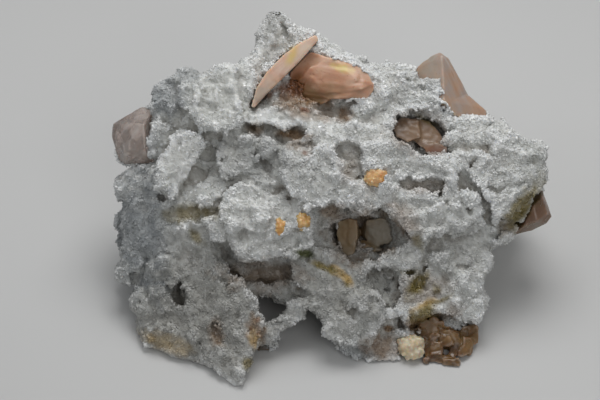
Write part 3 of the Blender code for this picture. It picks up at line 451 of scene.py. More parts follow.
def flat_mean(values: np.ndarray, reach: int) -> np.ndarray:
    """Average a flat array over a square of cells."""
    return box_mean(values[None].astype(np.float32), reach)[0]


def hashed(cells: np.ndarray, seed: int) -> np.ndarray:
    """Return repeatable random numbers.

    Args:
        cells: rows of three whole numbers.
        seed: which numbers.

    Returns:
        One value from 0 to 1 for each row.
    """
    mixed = np.full(len(cells), seed * HASH_SEED_FACTOR + HASH_OFFSET, np.uint32)
    for axis, factor in enumerate(HASH_FACTORS):
        mixed ^= cells[:, axis].astype(np.uint32) * np.uint32(factor)
    mixed ^= mixed >> np.uint32(13)
    mixed *= np.uint32(HASH_STIR)
    mixed ^= mixed >> np.uint32(16)
    return (mixed & np.uint32(HASH_MASK)).astype(np.float32) / np.float32(HASH_MASK)


def swell_noise(points: np.ndarray, cell: float, seed: int) -> np.ndarray:
    """Return smooth noise from -1 to 1.

    Args:
        points: rows of coordinates in millimetres.
        cell: the size of its swells in millimetres.
        seed: which noise.

    Returns:
        One value for each point.
    """
    scaled = points / cell
    base = np.floor(scaled).astype(np.int32)
    part = (scaled - base).astype(np.float32)
    part = part * part * (3.0 - 2.0 * part)
    total = np.zeros(len(points), np.float32)
    for corner in range(8):
        step = np.array(((corner >> 2) & 1, (corner >> 1) & 1, corner & 1), np.int32)
        weight = np.prod(np.where(step, part, 1.0 - part), axis=1)
        total += weight * hashed(base + step, seed)
    return total * 2.0 - 1.0


def lump_noise(points: np.ndarray, cell: float, seed: int) -> tuple:
    """Find the nearest of many scattered lump middles.

    Args:
        points: rows of coordinates in millimetres.
        cell: how far apart the middles lie.
        seed: which scatter.

    Returns:
        The distance to the nearest middle in cells, and a random number from -1 to 1 that
        belongs to that middle.
    """
    scaled = points / cell
    base = np.floor(scaled).astype(np.int32)
    nearest = np.full(len(points), 9.0, np.float32)
    number = np.zeros(len(points), np.float32)
    for corner in range(27):
        step = np.array((corner // 9 - 1, corner // 3 % 3 - 1, corner % 3 - 1), np.int32)
        cells = base + step
        gap = np.zeros(len(points), np.float32)
        for axis in range(3):
            place = cells[:, axis] + 0.1 + 0.8 * hashed(cells, seed + axis)
            gap += (place - scaled[:, axis]).astype(np.float32) ** 2
        closer = gap < nearest
        nearest[closer] = gap[closer]
        number[closer] = hashed(cells[closer], seed + 3)
    return np.sqrt(nearest), number * 2.0 - 1.0


@dataclass
class DistanceGrid:
    """A distance field in the face frame, in millimetres, negative inside the stone."""

    step: float = 0.55
    low: tuple = (-66.0, -3.3, -6.05)
    high: tuple = (66.0, 78.0, 112.0)
    band: int = 14
    values: np.ndarray = field(default=None)

    def start_cell(self) -> tuple:
        """Return the index of the first cell."""
        return tuple(int(round(value / self.step)) for value in self.low)

    def shape(self) -> tuple:
        """Return the number of cells each way."""
        return tuple(int(round((end - start) / self.step)) + 1
                     for start, end in zip(self.low, self.high))

    def fill(self, points: np.ndarray, triangles: np.ndarray) -> np.ndarray:
        """Return the distances to a closed mesh.

        Args:
            points: face points in millimetres.
            triangles: rows of three point numbers.

        Returns:
            The distances, cut off at the band's width.
        """
        spacing = vdb.createLinearTransform(voxelSize=self.step)
        grid = vdb.FloatGrid.createLevelSetFromPolygons(
            points.astype(np.float32), triangles=triangles.astype(np.uint32),
            transform=spacing, halfWidth=self.band)
        result = np.zeros(self.shape(), np.float32)
        grid.copyToArray(result, ijk=self.start_cell())
        return result

    def axes(self) -> list:
        """Return the coordinates of the cells along each axis."""
        return [np.float32(low) + np.arange(count, dtype=np.float32) * np.float32(self.step)
                for low, count in zip(self.low, self.shape())]

    def columns(self) -> tuple:
        """Return where the columns that run inward stand.

        Returns:
            Their coordinates across and up, and the same as rows of points at no depth.
        """
        axes = self.axes()
        across, up = np.meshgrid(axes[0], axes[2], indexing="ij")
        spots = np.column_stack((across.ravel(), np.zeros(across.size), up.ravel()))
        return across, up, spots

    def band_cells(self, reach: float) -> tuple:
        """Find the cells near the skin.

        Args:
            reach: how far from the skin they may be.

        Returns:
            Their flat numbers and their coordinates.
        """
        flat = np.flatnonzero(np.abs(self.values.ravel()) < reach)
        index = np.stack(np.unravel_index(flat, self.values.shape), axis=1)
        points = index.astype(np.float32) * self.step + np.array(self.low, np.float32)
        return flat, points

    def first_depths(self) -> np.ndarray:
        """Find where the stone begins.

        Returns:
            The depth for each x and z, and not a number where there is no stone.
        """
        inside = self.values < 0.0
        first = inside.argmax(axis=1).astype(np.float32) * self.step + self.low[1]
        first[~inside.any(axis=1)] = np.nan
        return first

    def sample(self, points: np.ndarray, values: np.ndarray) -> np.ndarray:
        """Read an array of the grid's shape at points, blended between cells.

        Args:
            points: face points.
            values: the array.

        Returns:
            One value for each point.
        """
        place = (points - np.array(self.low)) / self.step
        top = np.array(values.shape) - 2
        base = np.clip(np.floor(place).astype(np.int32), 0, top)
        part = np.clip(place - base, 0.0, 1.0).astype(np.float32)
        total = np.zeros(len(points), np.float32)
        for corner in range(8):
            step = ((corner >> 2) & 1, (corner >> 1) & 1, corner & 1)
            weight = np.ones(len(points), np.float32)
            for axis in range(3):
                weight *= part[:, axis] if step[axis] else 1.0 - part[:, axis]
            spot = tuple(base[:, axis] + step[axis] for axis in range(3))
            total += weight * values[spot]
        return total

    def skin(self) -> tuple:
        """Make the stone's skin.

        Returns:
            Its points and its four-sided faces.
        """
        limit = np.float32(3.0 * self.step)
        grid = vdb.FloatGrid(float(limit))
        grid.copyFromArray(np.clip(self.values, -limit, limit), ijk=self.start_cell())
        grid.transform = vdb.createLinearTransform(voxelSize=self.step)
        grid.gridClass = "level set"
        points, quads = grid.convertToQuads(isovalue=0.0)
        return np.asarray(points, np.float32), np.asarray(quads, np.int64)[:, ::-1]


def node_arrays(node: bpy.types.Object) -> tuple:
    """Read a solid's mesh.

    Args:
        node: the solid's node.

    Returns:
        Its points in the face frame and its triangles.
    """
    mesh = node.data
    mesh.calc_loop_triangles()
    points = np.empty(len(mesh.vertices) * 3, np.float32)
    mesh.vertices.foreach_get("co", points)
    triangles = np.empty(len(mesh.loop_triangles) * 3, np.int32)
    mesh.loop_triangles.foreach_get("vertices", triangles)
    return FACE.to_face(points.reshape(-1, 3).astype(np.float64)), triangles.reshape(-1, 3)


def joined_arrays(nodes: list) -> tuple:
    """Read the meshes of several solids as one.

    Args:
        nodes: the solids' nodes.

    Returns:
        Their points in the face frame and their triangles.
    """
    points = []
    triangles = []
    count = 0
    for node in nodes:
        node_points, node_triangles = node_arrays(node)
        points.append(node_points)
        triangles.append(node_triangles + count)
        count += len(node_points)
    return np.concatenate(points), np.concatenate(triangles)


def main_body(points: np.ndarray, faces: np.ndarray, least: int) -> np.ndarray:
    """Tell which faces belong to a body of some size, so that loose crumbs can go.

    Args:
        points: the points.
        faces: rows of point numbers.
        least: the fewest points that a body keeps.

    Returns:
        True for each face that stays.
    """
    label = np.arange(len(points))
    pairs = np.concatenate([faces[:, (i, (i + 1) % faces.shape[1])] for i in range(faces.shape[1])])
    while True:
        before = label.copy()
        low = np.minimum(label[pairs[:, 0]], label[pairs[:, 1]])
        np.minimum.at(label, label[pairs[:, 0]], low)
        np.minimum.at(label, label[pairs[:, 1]], low)
        while True:
            shorter = label[label]
            if np.array_equal(shorter, label):
                break
            label = shorter
        if np.array_equal(before, label):
            break
    sizes = np.bincount(label, minlength=len(points))
    return sizes[label[faces[:, 0]]] >= least


def inside_box(points: np.ndarray) -> np.ndarray:
    """Hold standing points inside the solid's bounding box."""
    low, high = np.array(CAD_BOX[0]), np.array(CAD_BOX[1])
    return np.clip(points, low + BOX_MARGIN, high - BOX_MARGIN)


def make_mesh(name: str, points: np.ndarray, faces: np.ndarray, masks: dict) -> bpy.types.Object:
    """Make an object from face points.

    Args:
        name: the object's name.
        points: face points in millimetres.
        faces: rows of point numbers, all of one length.
        masks: values for each point, by name.

    Returns:
        The new object.
    """
    mesh = bpy.data.meshes.new(name)
    sides = faces.shape[1]
    mesh.vertices.add(len(points))
    mesh.vertices.foreach_set("co", inside_box(FACE.to_world(points)).astype(np.float32).ravel())
    mesh.loops.add(faces.size)
    mesh.loops.foreach_set("vertex_index", faces.astype(np.int32).ravel())
    mesh.polygons.add(len(faces))
    mesh.polygons.foreach_set("loop_start", np.arange(0, faces.size, sides, dtype=np.int32))
    mesh.update(calc_edges=True)
    for label, values in masks.items():
        layer = mesh.attributes.new(label, "FLOAT", "POINT")
        layer.data.foreach_set("value", values.astype(np.float32))
    obj = bpy.data.objects.new(name, mesh)
    bpy.context.scene.collection.objects.link(obj)
    return obj


STAINS = {
    # The two large patches low on the face are painted shade, darker towards the bottom; the rest give
    # grey tone.
    StainKind.GREY_AND_SHADE: (
        Stain(-38.0, 20.0, 26.0, 22.0, 0.0, 0.75),
        Stain(0.0, 27.0, 22.0, 13.0, 0.0, 0.6),
        Stain(-22.0, 64.0, 14.0, 9.0, 0.0, 0.35),
        Stain(30.0, 38.0, 16.0, 8.0, 0.0, 0.3),
        Stain(-17.0, 101.0, 5.0, 8.0, 0.0, 0.3),
        Stain(-19.4, 82.4, 2.6, 4.6, -0.7, 0.6),
        Stain(27.0, 89.6, 3.6, 5.6, 0.0, 0.55),
        Stain(56.0, 45.0, 4.0, 1.6, 0.5, 0.5),
        Stain(14.5, 43.0, 5.0, 6.4, 0.0, 1.0),
    ),
    StainKind.CREAM: (
        Stain(-11.0, 93.6, 1.2, 3.0, -0.55, 0.9),
        Stain(3.2, 89.4, 3.2, 1.2, -0.25, 0.9),
        Stain(1.5, 32.6, 2.6, 1.3, -0.5, 0.9),
        Stain(4.4, 30.2, 2.4, 1.2, -0.9, 1.0),
        Stain(-46.5, 12.4, 6.5, 2.6, -0.3, 0.45),
        Stain(-22.0, 13.6, 1.4, 3.0, 0.2, 0.5),
        Stain(25.6, 23.0, 4.2, 1.2, 0.4, 0.9),
    ),
    StainKind.RUST: (
        Stain(-9.4, 84.0, 5.4, 3.2, 0.0, 1.0),
        Stain(-4.0, 82.6, 2.6, 2.6, -0.5, 0.7),
        Stain(-20.9, 18.8, 0.6, 0.6, 0.0, 0.5),
        Stain(-22.8, 16.6, 0.5, 0.7, 0.0, 0.5),
        Stain(-20.9, 15.2, 0.5, 0.5, 0.0, 0.5),
        Stain(-9.0, 83.4, 5.4, 1.6, -0.1, 1.0),
        Stain(-16.8, 82.6, 4.8, 0.8, 0.55, 0.8),
        Stain(-7.8, 78.0, 1.8, 0.7, -0.3, 0.9),
        Stain(-7.6, 65.8, 1.2, 0.8, -0.3, 0.8),
        Stain(28.0, 66.6, 3.4, 1.4, 0.0, 0.6),
    ),
    StainKind.TAN: (
        Stain(-8.0, 81.2, 8.0, 4.6, 0.0, 0.9),
        Stain(-1.0, 83.6, 8.0, 2.2, -0.1, 0.5),
        Stain(-21.6, 16.2, 2.6, 4.4, 0.1, 0.8),
        Stain(-32.4, 15.4, 2.0, 3.4, 0.2, 0.6),
        Stain(26.0, 18.4, 5.4, 3.0, 0.2, 1.0),
        Stain(22.4, 17.4, 2.4, 2.0, 0.0, 0.6),
        Stain(33.6, 21.8, 2.6, 2.4, 0.0, 0.5),
        Stain(26.0, 27.0, 7.0, 6.0, 0.0, 0.4),
        Stain(14.0, 11.0, 5.0, 4.0, 0.0, 0.7),
        Stain(16.0, 16.6, 1.6, 1.0, 0.0, 0.9),
        Stain(20.0, 47.0, 3.0, 6.0, 0.6, 0.5),
        Stain(49.0, 45.0, 2.4, 2.6, -0.4, 0.6),
        Stain(-2.4, 76.6, 3.6, 2.0, 0.0, 0.5),
        Stain(-11.0, 70.6, 4.4, 1.6, -0.1, 0.9),
        Stain(-21.8, 72.4, 2.0, 1.6, 0.0, 0.7),
        Stain(-9.0, 68.2, 3.6, 1.6, 0.0, 0.45),
        Stain(-20.0, 31.6, 11.0, 4.2, 0.0, 0.55),
        Stain(7.0, 43.0, 9.0, 7.0, 0.0, 0.7),
        Stain(24.0, 71.5, 8.0, 5.0, 0.0, 0.55),
        Stain(4.6, 62.0, 2.8, 5.0, 0.0, 0.35),
        Stain(3.4, 76.2, 2.4, 2.2, 0.0, 0.8),
        Stain(26.0, 56.4, 6.0, 2.0, 0.0, 0.4),
        Stain(-0.6, 49.6, 2.8, 1.8, 0.2, 0.7),
    ),
    StainKind.OLIVE: (
        Stain(-39.0, 49.0, 7.5, 2.4, 0.10, 0.75),
        Stain(-38.0, 42.2, 3.0, 1.2, -0.8, 0.7),
        Stain(-2.4, 33.8, 4.6, 1.0, -0.35, 1.0),
        Stain(4.2, 28.8, 0.8, 0.8, 0.0, 0.9),
        Stain(24.2, 41.0, 1.4, 2.4, 0.5, 0.6),
        Stain(-24.0, 6.6, 1.4, 1.8, 0.0, 0.8),
        Stain(26.0, 21.4, 4.6, 1.8, 0.45, 1.0),
        Stain(30.6, 24.4, 3.6, 0.8, 0.45, 0.8),
        Stain(24.2, 29.6, 4.6, 2.2, 1.1, 1.0),
        Stain(22.0, 32.4, 2.4, 1.0, 0.0, 0.8),
        Stain(29.2, 27.4, 1.2, 1.4, 0.2, 0.7),
        Stain(53.0, 50.5, 3.0, 8.0, -0.62, 0.9),
        Stain(26.0, 75.0, 4.4, 0.9, -0.5, 0.6),
    ),
    StainKind.GREEN: (
        Stain(-7.8, 37.4, 2.2, 1.3, 0.0, 1.0),
        Stain(56.0, 65.0, 5.0, 4.0, 0.0, 0.12),
        Stain(-32.0, 81.0, 9.0, 8.0, 0.0, 0.10),
    ),
    StainKind.BLUE: (
        Stain(-54.0, 44.0, 9.0, 18.0, 0.05, 0.9),
        Stain(-47.0, 81.0, 6.0, 6.0, 0.0, 0.8),
        Stain(-40.5, 88.0, 3.6, 2.4, 0.0, 0.7),
        Stain(-50.0, 68.0, 3.0, 5.0, 0.0, 0.4),
        Stain(-46.0, 78.0, 4.5, 2.4, 0.0, 0.6),
        Stain(8.0, 9.6, 8.0, 2.6, 0.0, 0.8),
        Stain(-20.0, 63.0, 7.0, 7.0, 0.0, 0.25),
    ),
    StainKind.SMOOTH: (
        Stain(-31.0, 82.0, 9.0, 7.5, 0.0, 1.0),
        Stain(-43.0, 63.5, 5.0, 7.5, 0.4, 0.9),
        Stain(-13.0, 75.6, 12.0, 2.4, -0.05, 1.0),
        Stain(-17.0, 98.0, 5.0, 7.0, 0.0, 0.6),
        Stain(-20.0, 51.0, 8.0, 6.0, 0.0, 0.4),
    ),
}


def stain_masks(points: np.ndarray) -> dict:
    """Return how strongly each kind of stain lies on face points.

    Args:
        points: face points in millimetres.

    Returns:
        Values from 0 to 1 for each point, by the stain's name.
    """
    seen = FACE.seen(points)
    ragged = swell_noise(points, 1.6, 31) * 0.35 + swell_noise(points, 4.0, 33) * 0.25
    near = points[:, 1] < STAINED_DEPTH
    result = {kind.value: np.zeros(len(points), np.float32) for kind in StainKind}
    for kind, stains in STAINS.items():
        for stain in stains:
            cosine, sine = math.cos(stain.turn), math.sin(stain.turn)
            across = (seen[:, 0] - stain.x) * cosine + (seen[:, 1] - stain.z) * sine
            up = (seen[:, 1] - stain.z) * cosine - (seen[:, 0] - stain.x) * sine
            size = np.sqrt((across / stain.half_x) ** 2 + (up / stain.half_z) ** 2) + ragged
            amount = stain.strength * np.clip(1.6 - 1.2 * size, 0.0, 1.0) * near
            result[kind.value] = np.maximum(result[kind.value], amount)
    return result


@dataclass
class DruseBody:
    """The chalcedony mass: its rough skin and the quartz points that cover it, in millimetres."""

    node: str = "chalcedony_matrix"
    seed: int = 7
    swell_cell: float = 5.0
    swell_height: float = 0.4
    step_cell: float = 6.4
    step_height: float = 0.35
    ledge_cell: float = 3.1
    ledge_height: float = 0.22
    nub_cell: float = 1.4
    nub_height: float = 1.0
    warp_cell: float = 2.2
    warp_reach: float = 0.9
    back_depth: float = 24.0
    back_roughness: float = 1.8
    fray_wide: float = 0.55
    fray_fine: float = 0.35
    fray_reach: float = 2.6
    fray_seed: int = 71
    crumb_points: int = 4000
    crystal_gap: float = 0.04
    lap_size: float = 0.8
    view_margin: float = 0.35
    view_sway: float = 0.5
    view_seed: int = 81
    pit_depth: float = 1.7
    pit_window: int = 12
    pit_rim: int = 8
    pit_seed: int = 91
    hollow_depth: float = 5.5
    hollow_slope: float = 2.6
    plate_margin: float = 3.0
    plate_least: int = 8
    plate_unevenness: float = 5.0
    plate_back: float = 2.5
    plate_seed: int = 51
    stroke_guess: float = 12.0
    stroke_bedding: float = 0.3
    stroke_margin: float = 4.0
    groove_squeeze: float = 0.4
    front_depth: float = 30.0
    split_x: float = -9.0
    split_z: float = 52.0
    skin_jitter: float = 0.10
    point_count: int = 82000
    point_radius: float = 0.35
    point_tilt: float = 0.35
    back_share: float = 0.30
    grid: DistanceGrid = field(default_factory=DistanceGrid)
    points: np.ndarray = field(init=False, default=None)
    quads: np.ndarray = field(init=False, default=None)
    fullness: np.ndarray = field(init=False, default=None)
    wide_fullness: np.ndarray = field(init=False, default=None)

    def build_field(self, crystals: list) -> None:
        """Fill the distance field and give it its relief.

        Args:
            crystals: the crystal nodes that stay clear of the druse.
        """
        grid = self.grid
        points, triangles = node_arrays(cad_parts[self.node])
        grid.values = grid.fill(points, triangles)
        solid = (grid.values < 0.0).astype(np.float32)
        self.fill_pits()
        self.add_plates()
        self.add_strokes()
        self.fray()
        crystal_points, crystal_triangles = joined_arrays(crystals)
        clear = grid.fill(crystal_points, crystal_triangles)
        self.lap(clear)
        self.add_ledges()
        self.add_nubs()
        self.open_views(clear)
        np.maximum(grid.values, self.crystal_gap - clear, out=grid.values)
        self.trim_base()
        self.fullness = box_mean((grid.values < 0.0).astype(np.float32), 5)
        self.wide_fullness = box_mean(box_mean(solid, 7), 5)

    def fill_pits(self) -> None:
        """Raise the floors of pits, save in the open hollows, to just behind the face around them."""
        grid = self.grid
        depths = grid.first_depths()
        known = np.isfinite(depths)
        share = np.maximum(flat_mean(known.astype(np.float32), self.pit_window), 0.01)
        around = flat_mean(np.where(known, depths, 0.0), self.pit_window) / share
        level = np.where(known, np.minimum(depths, around + 1.0), 0.0)
        around = flat_mean(level, self.pit_window) / share
        across, up, spots = grid.columns()
        seen_x, seen_z = FACE.seen_columns(across, up, around)
        rough = 0.8 * swell_noise(spots, 3.2, self.pit_seed)
        rough += 0.6 * swell_noise(spots, 1.4, self.pit_seed + 1)
        limit = around + self.pit_depth + rough.reshape(across.shape)
        for outline in OPEN_HOLLOWS:
            side = outline_distance(outline, seen_x, seen_z)
            opened = np.clip((1.0 - side) / self.hollow_slope, 0.0, 1.0)
            limit = limit + opened * (self.hollow_depth - self.pit_depth)
        chosen = known & (flat_mean(known.astype(np.float32), self.pit_rim) > 0.98)
        chosen &= depths > limit
        depth = grid.axes()[1][None, :, None]
        floor = limit[:, None, :].astype(np.float32)
        fill = chosen[:, None, :] & (depth > floor - 1.0) & (depth < depths[:, None, :] + 2.0)
        grid.values[fill] = np.minimum(grid.values, floor - depth)[fill]

    def fray(self) -> None:
        """Make every edge ragged by shifting where the field is read."""
        grid = self.grid
        flat, cells = grid.band_cells(self.fray_reach)
        moved = cells + np.stack([self.fray_wide * swell_noise(cells, 3.0, self.fray_seed + axis)
                                  + self.fray_fine * swell_noise(cells, 1.3, self.fray_seed + 4 + axis)
                                  for axis in range(3)], axis=1)
        grid.values.ravel()[flat] = grid.sample(moved, grid.values.copy())

    def lap(self, clear: np.ndarray) -> None:
        """Let the druse lap onto the crystals with a soft fillet.

        Args:
            clear: the distances to the crystals.
        """
        values = self.grid.values
        blend = np.clip(0.5 + 0.5 * (clear - values) / self.lap_size, 0.0, 1.0)
        joined = clear + (values - clear) * blend - self.lap_size * blend * (1.0 - blend)
        np.minimum(values, np.maximum(joined, -clear), out=values)

    def add_ledges(self) -> None:
        """Raise swells, steps and ledges on the skin, coarser at the back."""
        flat, cells = self.grid.band_cells(1.8)
        shift = self.swell_height * swell_noise(cells, self.swell_cell, self.seed)
        warp = np.stack([swell_noise(cells, self.warp_cell, self.seed + 10 + axis)
                         for axis in range(3)], axis=1)
        bent = cells + self.warp_reach * warp
        rough = 1.0 + self.back_roughness * np.clip((cells[:, 1] - self.back_depth) / 10.0, 0.0, 1.0)
        shift += rough * self.step_height * lump_noise(bent, self.step_cell, self.seed)[1]
        shift += rough * self.ledge_height * lump_noise(bent, self.ledge_cell, self.seed + 4)[1]
        self.grid.values.ravel()[flat] += shift

    def add_nubs(self) -> None:
        """Raise nubs on the skin, mostly on its edges."""
        filled = box_mean((self.grid.values < 0.0).astype(np.float32), 4)
        flat, cells = self.grid.band_cells(1.6)
        edge = np.clip((0.52 - filled.ravel()[flat]) * 4.0, 0.08, 1.0)
        nubs = lump_noise(cells, self.nub_cell, self.seed + 8)[0] - 0.6
        self.grid.values.ravel()[flat] += edge * self.nub_height * nubs

    def open_views(self, clear: np.ndarray) -> None:
        """Take away the druse that stands in front of the crystals where they are seen.

        Args:
            clear: the distances to the crystals.
        """
        grid = self.grid
        inside = clear < 0.0
        hit = inside.any(axis=1)
        first = inside.argmax(axis=1).astype(np.float32) * grid.step + grid.low[1]
        across, up, spots = grid.columns()
        sway = [(self.view_sway * swell_noise(spots, 1.6, seed)).reshape(across.shape)
                for seed in (self.view_seed, self.view_seed + 1)]
        seen_x, seen_z = FACE.seen_columns(across, up, first)
        behind = grid.axes()[1][None, :, None] - first[:, None, :] - self.view_margin
        for outline in CLEAR_VIEWS:
            side = outline_distance(outline, seen_x + sway[0], seen_z + sway[1])
            columns = hit & (side < -self.view_margin)
            carve = np.maximum(side[:, None, :] + self.view_margin, behind)
            chosen = np.broadcast_to(columns[:, None, :], grid.values.shape)
            grid.values[chosen] = np.maximum(grid.values, -carve)[chosen]

    def add_plates(self) -> None:
        """Step the listed plates out of, or into, the face."""
        grid = self.grid
        depths = grid.first_depths()
        across, up, spots = grid.columns()
        sway = [(0.45 * swell_noise(spots, 1.3, seed) + 0.5 * swell_noise(spots, 3.2, seed + 1))
                .reshape(across.shape) for seed in (self.plate_seed, self.plate_seed + 10)]
        for plate in PLATES:
            corners = np.array(plate.outline)
            middle = corners.mean(axis=0)
            near = float(np.nanmedian(depths[(np.abs(across - middle[0]) < self.plate_margin)
                                             & (np.abs(up - middle[1]) < self.plate_margin)]))
            seen_x, seen_z = FACE.seen_columns(across, up, near)
            seen_x = seen_x + sway[0]
            seen_z = seen_z + sway[1]
            low = corners.min(axis=0) - self.plate_margin
            high = corners.max(axis=0) + self.plate_margin
            columns = np.flatnonzero(np.any((seen_x > low[0]) & (seen_x < high[0]), axis=1))
            rows = np.flatnonzero(np.any((seen_z > low[1]) & (seen_z < high[1]), axis=0))
            part = (slice(columns[0], columns[-1] + 1), slice(rows[0], rows[-1] + 1))
            side = outline_distance(plate.outline, seen_x[part], seen_z[part])
            self.apply_plate(plate, part, side, depths[part], across[part], up[part])

    def apply_plate(self, plate: Plate, part: tuple, side: np.ndarray, depths: np.ndarray,
                    across: np.ndarray, up: np.ndarray) -> None:
        """Blend one plate into the field.

        Args:
            plate: the plate.
            part: the columns and rows that it may touch.
            side: distances to its outline there.
            depths: where the stone began there.
            across: coordinates across.
            up: coordinates up.
        """
        chosen = (side < 0.0) & np.isfinite(depths)
        if chosen.sum() < self.plate_least:
            return
        level = np.median(depths[chosen])
        chosen &= np.abs(depths - level) < self.plate_unevenness
        terms = np.column_stack((np.ones(chosen.sum()), across[chosen], up[chosen]))
        fit = np.linalg.lstsq(terms, depths[chosen], rcond=None)[0]
        front = (fit[0] + fit[1] * across + fit[2] * up).astype(np.float32)
        depth = self.grid.axes()[1][None, :, None]
        block = self.grid.values[part[0], :, part[1]]
        side = side[:, None, :]
        if plate.kind is Relief.RAISE:
            face = (front - np.float32(plate.step))[:, None, :]
            thickness = np.float32(plate.step + self.plate_back)
            slab = np.maximum(np.maximum(side, face - depth), depth - face - thickness)
            np.minimum(block, slab, out=block)
        else:
            face = (front + np.float32(plate.step))[:, None, :]
            np.maximum(block, -np.maximum(side, depth - face), out=block)

    def add_strokes(self) -> None:
        """Add the listed ribs and grooves where they lie on the skin."""
        grid = self.grid
        depths = grid.first_depths()
        for stroke in STROKES:
            ends = []
            for seen_x, seen_z in stroke.path:
                guess = FACE.spread(seen_x, seen_z, self.stroke_guess)
                column = int(round((guess[0] - grid.low[0]) / grid.step))
                row = int(round((guess[2] - grid.low[2]) / grid.step))
                window = depths[column - 2:column + 3, row - 2:row + 3]
                if np.all(np.isnan(window)):
                    continue
                surface = float(np.nanmedian(window)) - self.stroke_bedding * stroke.radius
                ends.append(FACE.spread(seen_x, seen_z, surface))
            for start, end in zip(ends, ends[1:]):
                self.apply_stroke(stroke, start, end)

    def apply_stroke(self, stroke: Stroke, start: np.ndarray, end: np.ndarray) -> None:
        """Blend one length of a stroke into the field.

        Args:
            stroke: the stroke.
            start: its first end in the face frame.
            end: its other end.
        """
        axes = self.grid.axes()
        reach = stroke.radius + self.stroke_margin
        low = np.minimum(start, end) - reach
        high = np.maximum(start, end) + reach
        ranges = [slice(int(np.searchsorted(axis, low[i])), int(np.searchsorted(axis, high[i])))
                  for i, axis in enumerate(axes)]
        near = [axis[part] for axis, part in zip(axes, ranges)]
        place = np.stack(np.meshgrid(*near, indexing="ij"), -1)
        along = end - start
        length = max(float(along @ along), 1e-6)
        share = np.clip(((place - start) @ along) / length, 0.0, 1.0)[..., None]
        gap = place - start - share * along
        if stroke.kind is Relief.SINK:
            gap[..., 1] *= self.groove_squeeze
        distance = np.sqrt((gap ** 2).sum(-1)).astype(np.float32) - np.float32(stroke.radius)
        block = self.grid.values[tuple(ranges)]
        if stroke.kind is Relief.RAISE:
            np.minimum(block, distance, out=block)
        else:
            np.maximum(block, -distance, out=block)

    def trim_base(self) -> None:
        """Cut the stone level with its base."""
        axes = self.grid.axes()
        height = axes[2][None, :] * math.cos(FACE.lean) - axes[1][:, None] * math.sin(FACE.lean)
        values = self.grid.values
        np.maximum(values, -height[None, :, :].astype(np.float32), out=values)

    def masks(self, points: np.ndarray) -> dict:
        """Work out every mask that the druse finish reads.

        Args:
            points: face points.

        Returns:
            Values from 0 to 1 for each point, by the mask's name.
        """
        result = stain_masks(points)
        full = self.grid.sample(points, self.fullness)
        wide = self.grid.sample(points, self.wide_fullness)
        # Painted light: edge marks convex places, which the finishes whiten as a painted highlight.
        result["edge"] = np.clip((0.50 - full) * 4.0, 0.0, 1.0)
        # Painted shade: hollow marks small recesses and deep marks wide ones, which the druse finish
        # darkens towards brown.
        result["hollow"] = np.clip((full - 0.54) * 4.0, 0.0, 1.0)
        result["deep"] = np.clip((wide - 0.55) * 3.2, 0.0, 1.0)
        return result

    def build_skin(self) -> list:
        """Make the skin in four parts.

        Returns:
            The new objects.
        """
        points, quads = self.grid.skin()
        quads = quads[main_body(points, quads, self.crumb_points)]
        rng = np.random.default_rng(self.seed)
        standing = FACE.to_world(points.astype(np.float64))
        loose = (standing[:, 2] > 0.4 * MM)[:, None]
        points = points + loose * rng.normal(0.0, self.skin_jitter, points.shape)
        self.points = points
        self.quads = quads
        middle = points[quads].mean(axis=1)
        front = middle[:, 1] < self.front_depth
        right = middle[:, 0] >= self.split_x
        high = middle[:, 2] >= self.split_z
        parts = {
            "druse_skin_left_face": front & ~right,
            "druse_skin_right_face": front & right & high,
            "druse_skin_low_face": front & right & ~high,
            "druse_skin_back": ~front,
        }
        pieces = []
        for name, chosen in parts.items():
            faces = quads[chosen]
            used, renumbered = np.unique(faces, return_inverse=True)
            pieces.append(make_mesh(name, points[used], renumbered.reshape(faces.shape),
                                    self.masks(points[used])))
            LOG.info("%s has %d triangles", name, 2 * len(faces))
        return pieces

    def pick_feet(self, rng: np.random.Generator) -> tuple:
        """Choose where the quartz points stand, mostly on edges and on the face.

        Args:
            rng: the source of chance.

        Returns:
            Their feet, the skin's normals there and how full the stone is around them.
        """
        corners = self.points[self.quads]
        cross = np.cross(corners[:, 2] - corners[:, 0], corners[:, 3] - corners[:, 1])
        area = 0.5 * np.linalg.norm(cross, axis=1)
        normal = cross / np.maximum(2.0 * area, 1e-9)[:, None]
        middle = corners.mean(axis=1)
        full = self.grid.sample(middle, self.fullness)
        standing = FACE.to_world(middle.astype(np.float64))
        weight = area * np.clip(1.9 - 1.7 * full, 0.15, 1.6)
        weight *= np.where(middle[:, 1] < self.front_depth, 1.0, self.back_share)
        weight *= standing[:, 2] > 1.2 * MM
        picked = rng.choice(len(weight), self.point_count, p=weight / weight.sum())
        share = rng.random((self.point_count, 2, 1))
        across = corners[picked, 0] * (1 - share[:, 0]) + corners[picked, 1] * share[:, 0]
        other = corners[picked, 3] * (1 - share[:, 0]) + corners[picked, 2] * share[:, 0]
        foot = across * (1 - share[:, 1]) + other * share[:, 1]
        return foot, normal[picked], full[picked]

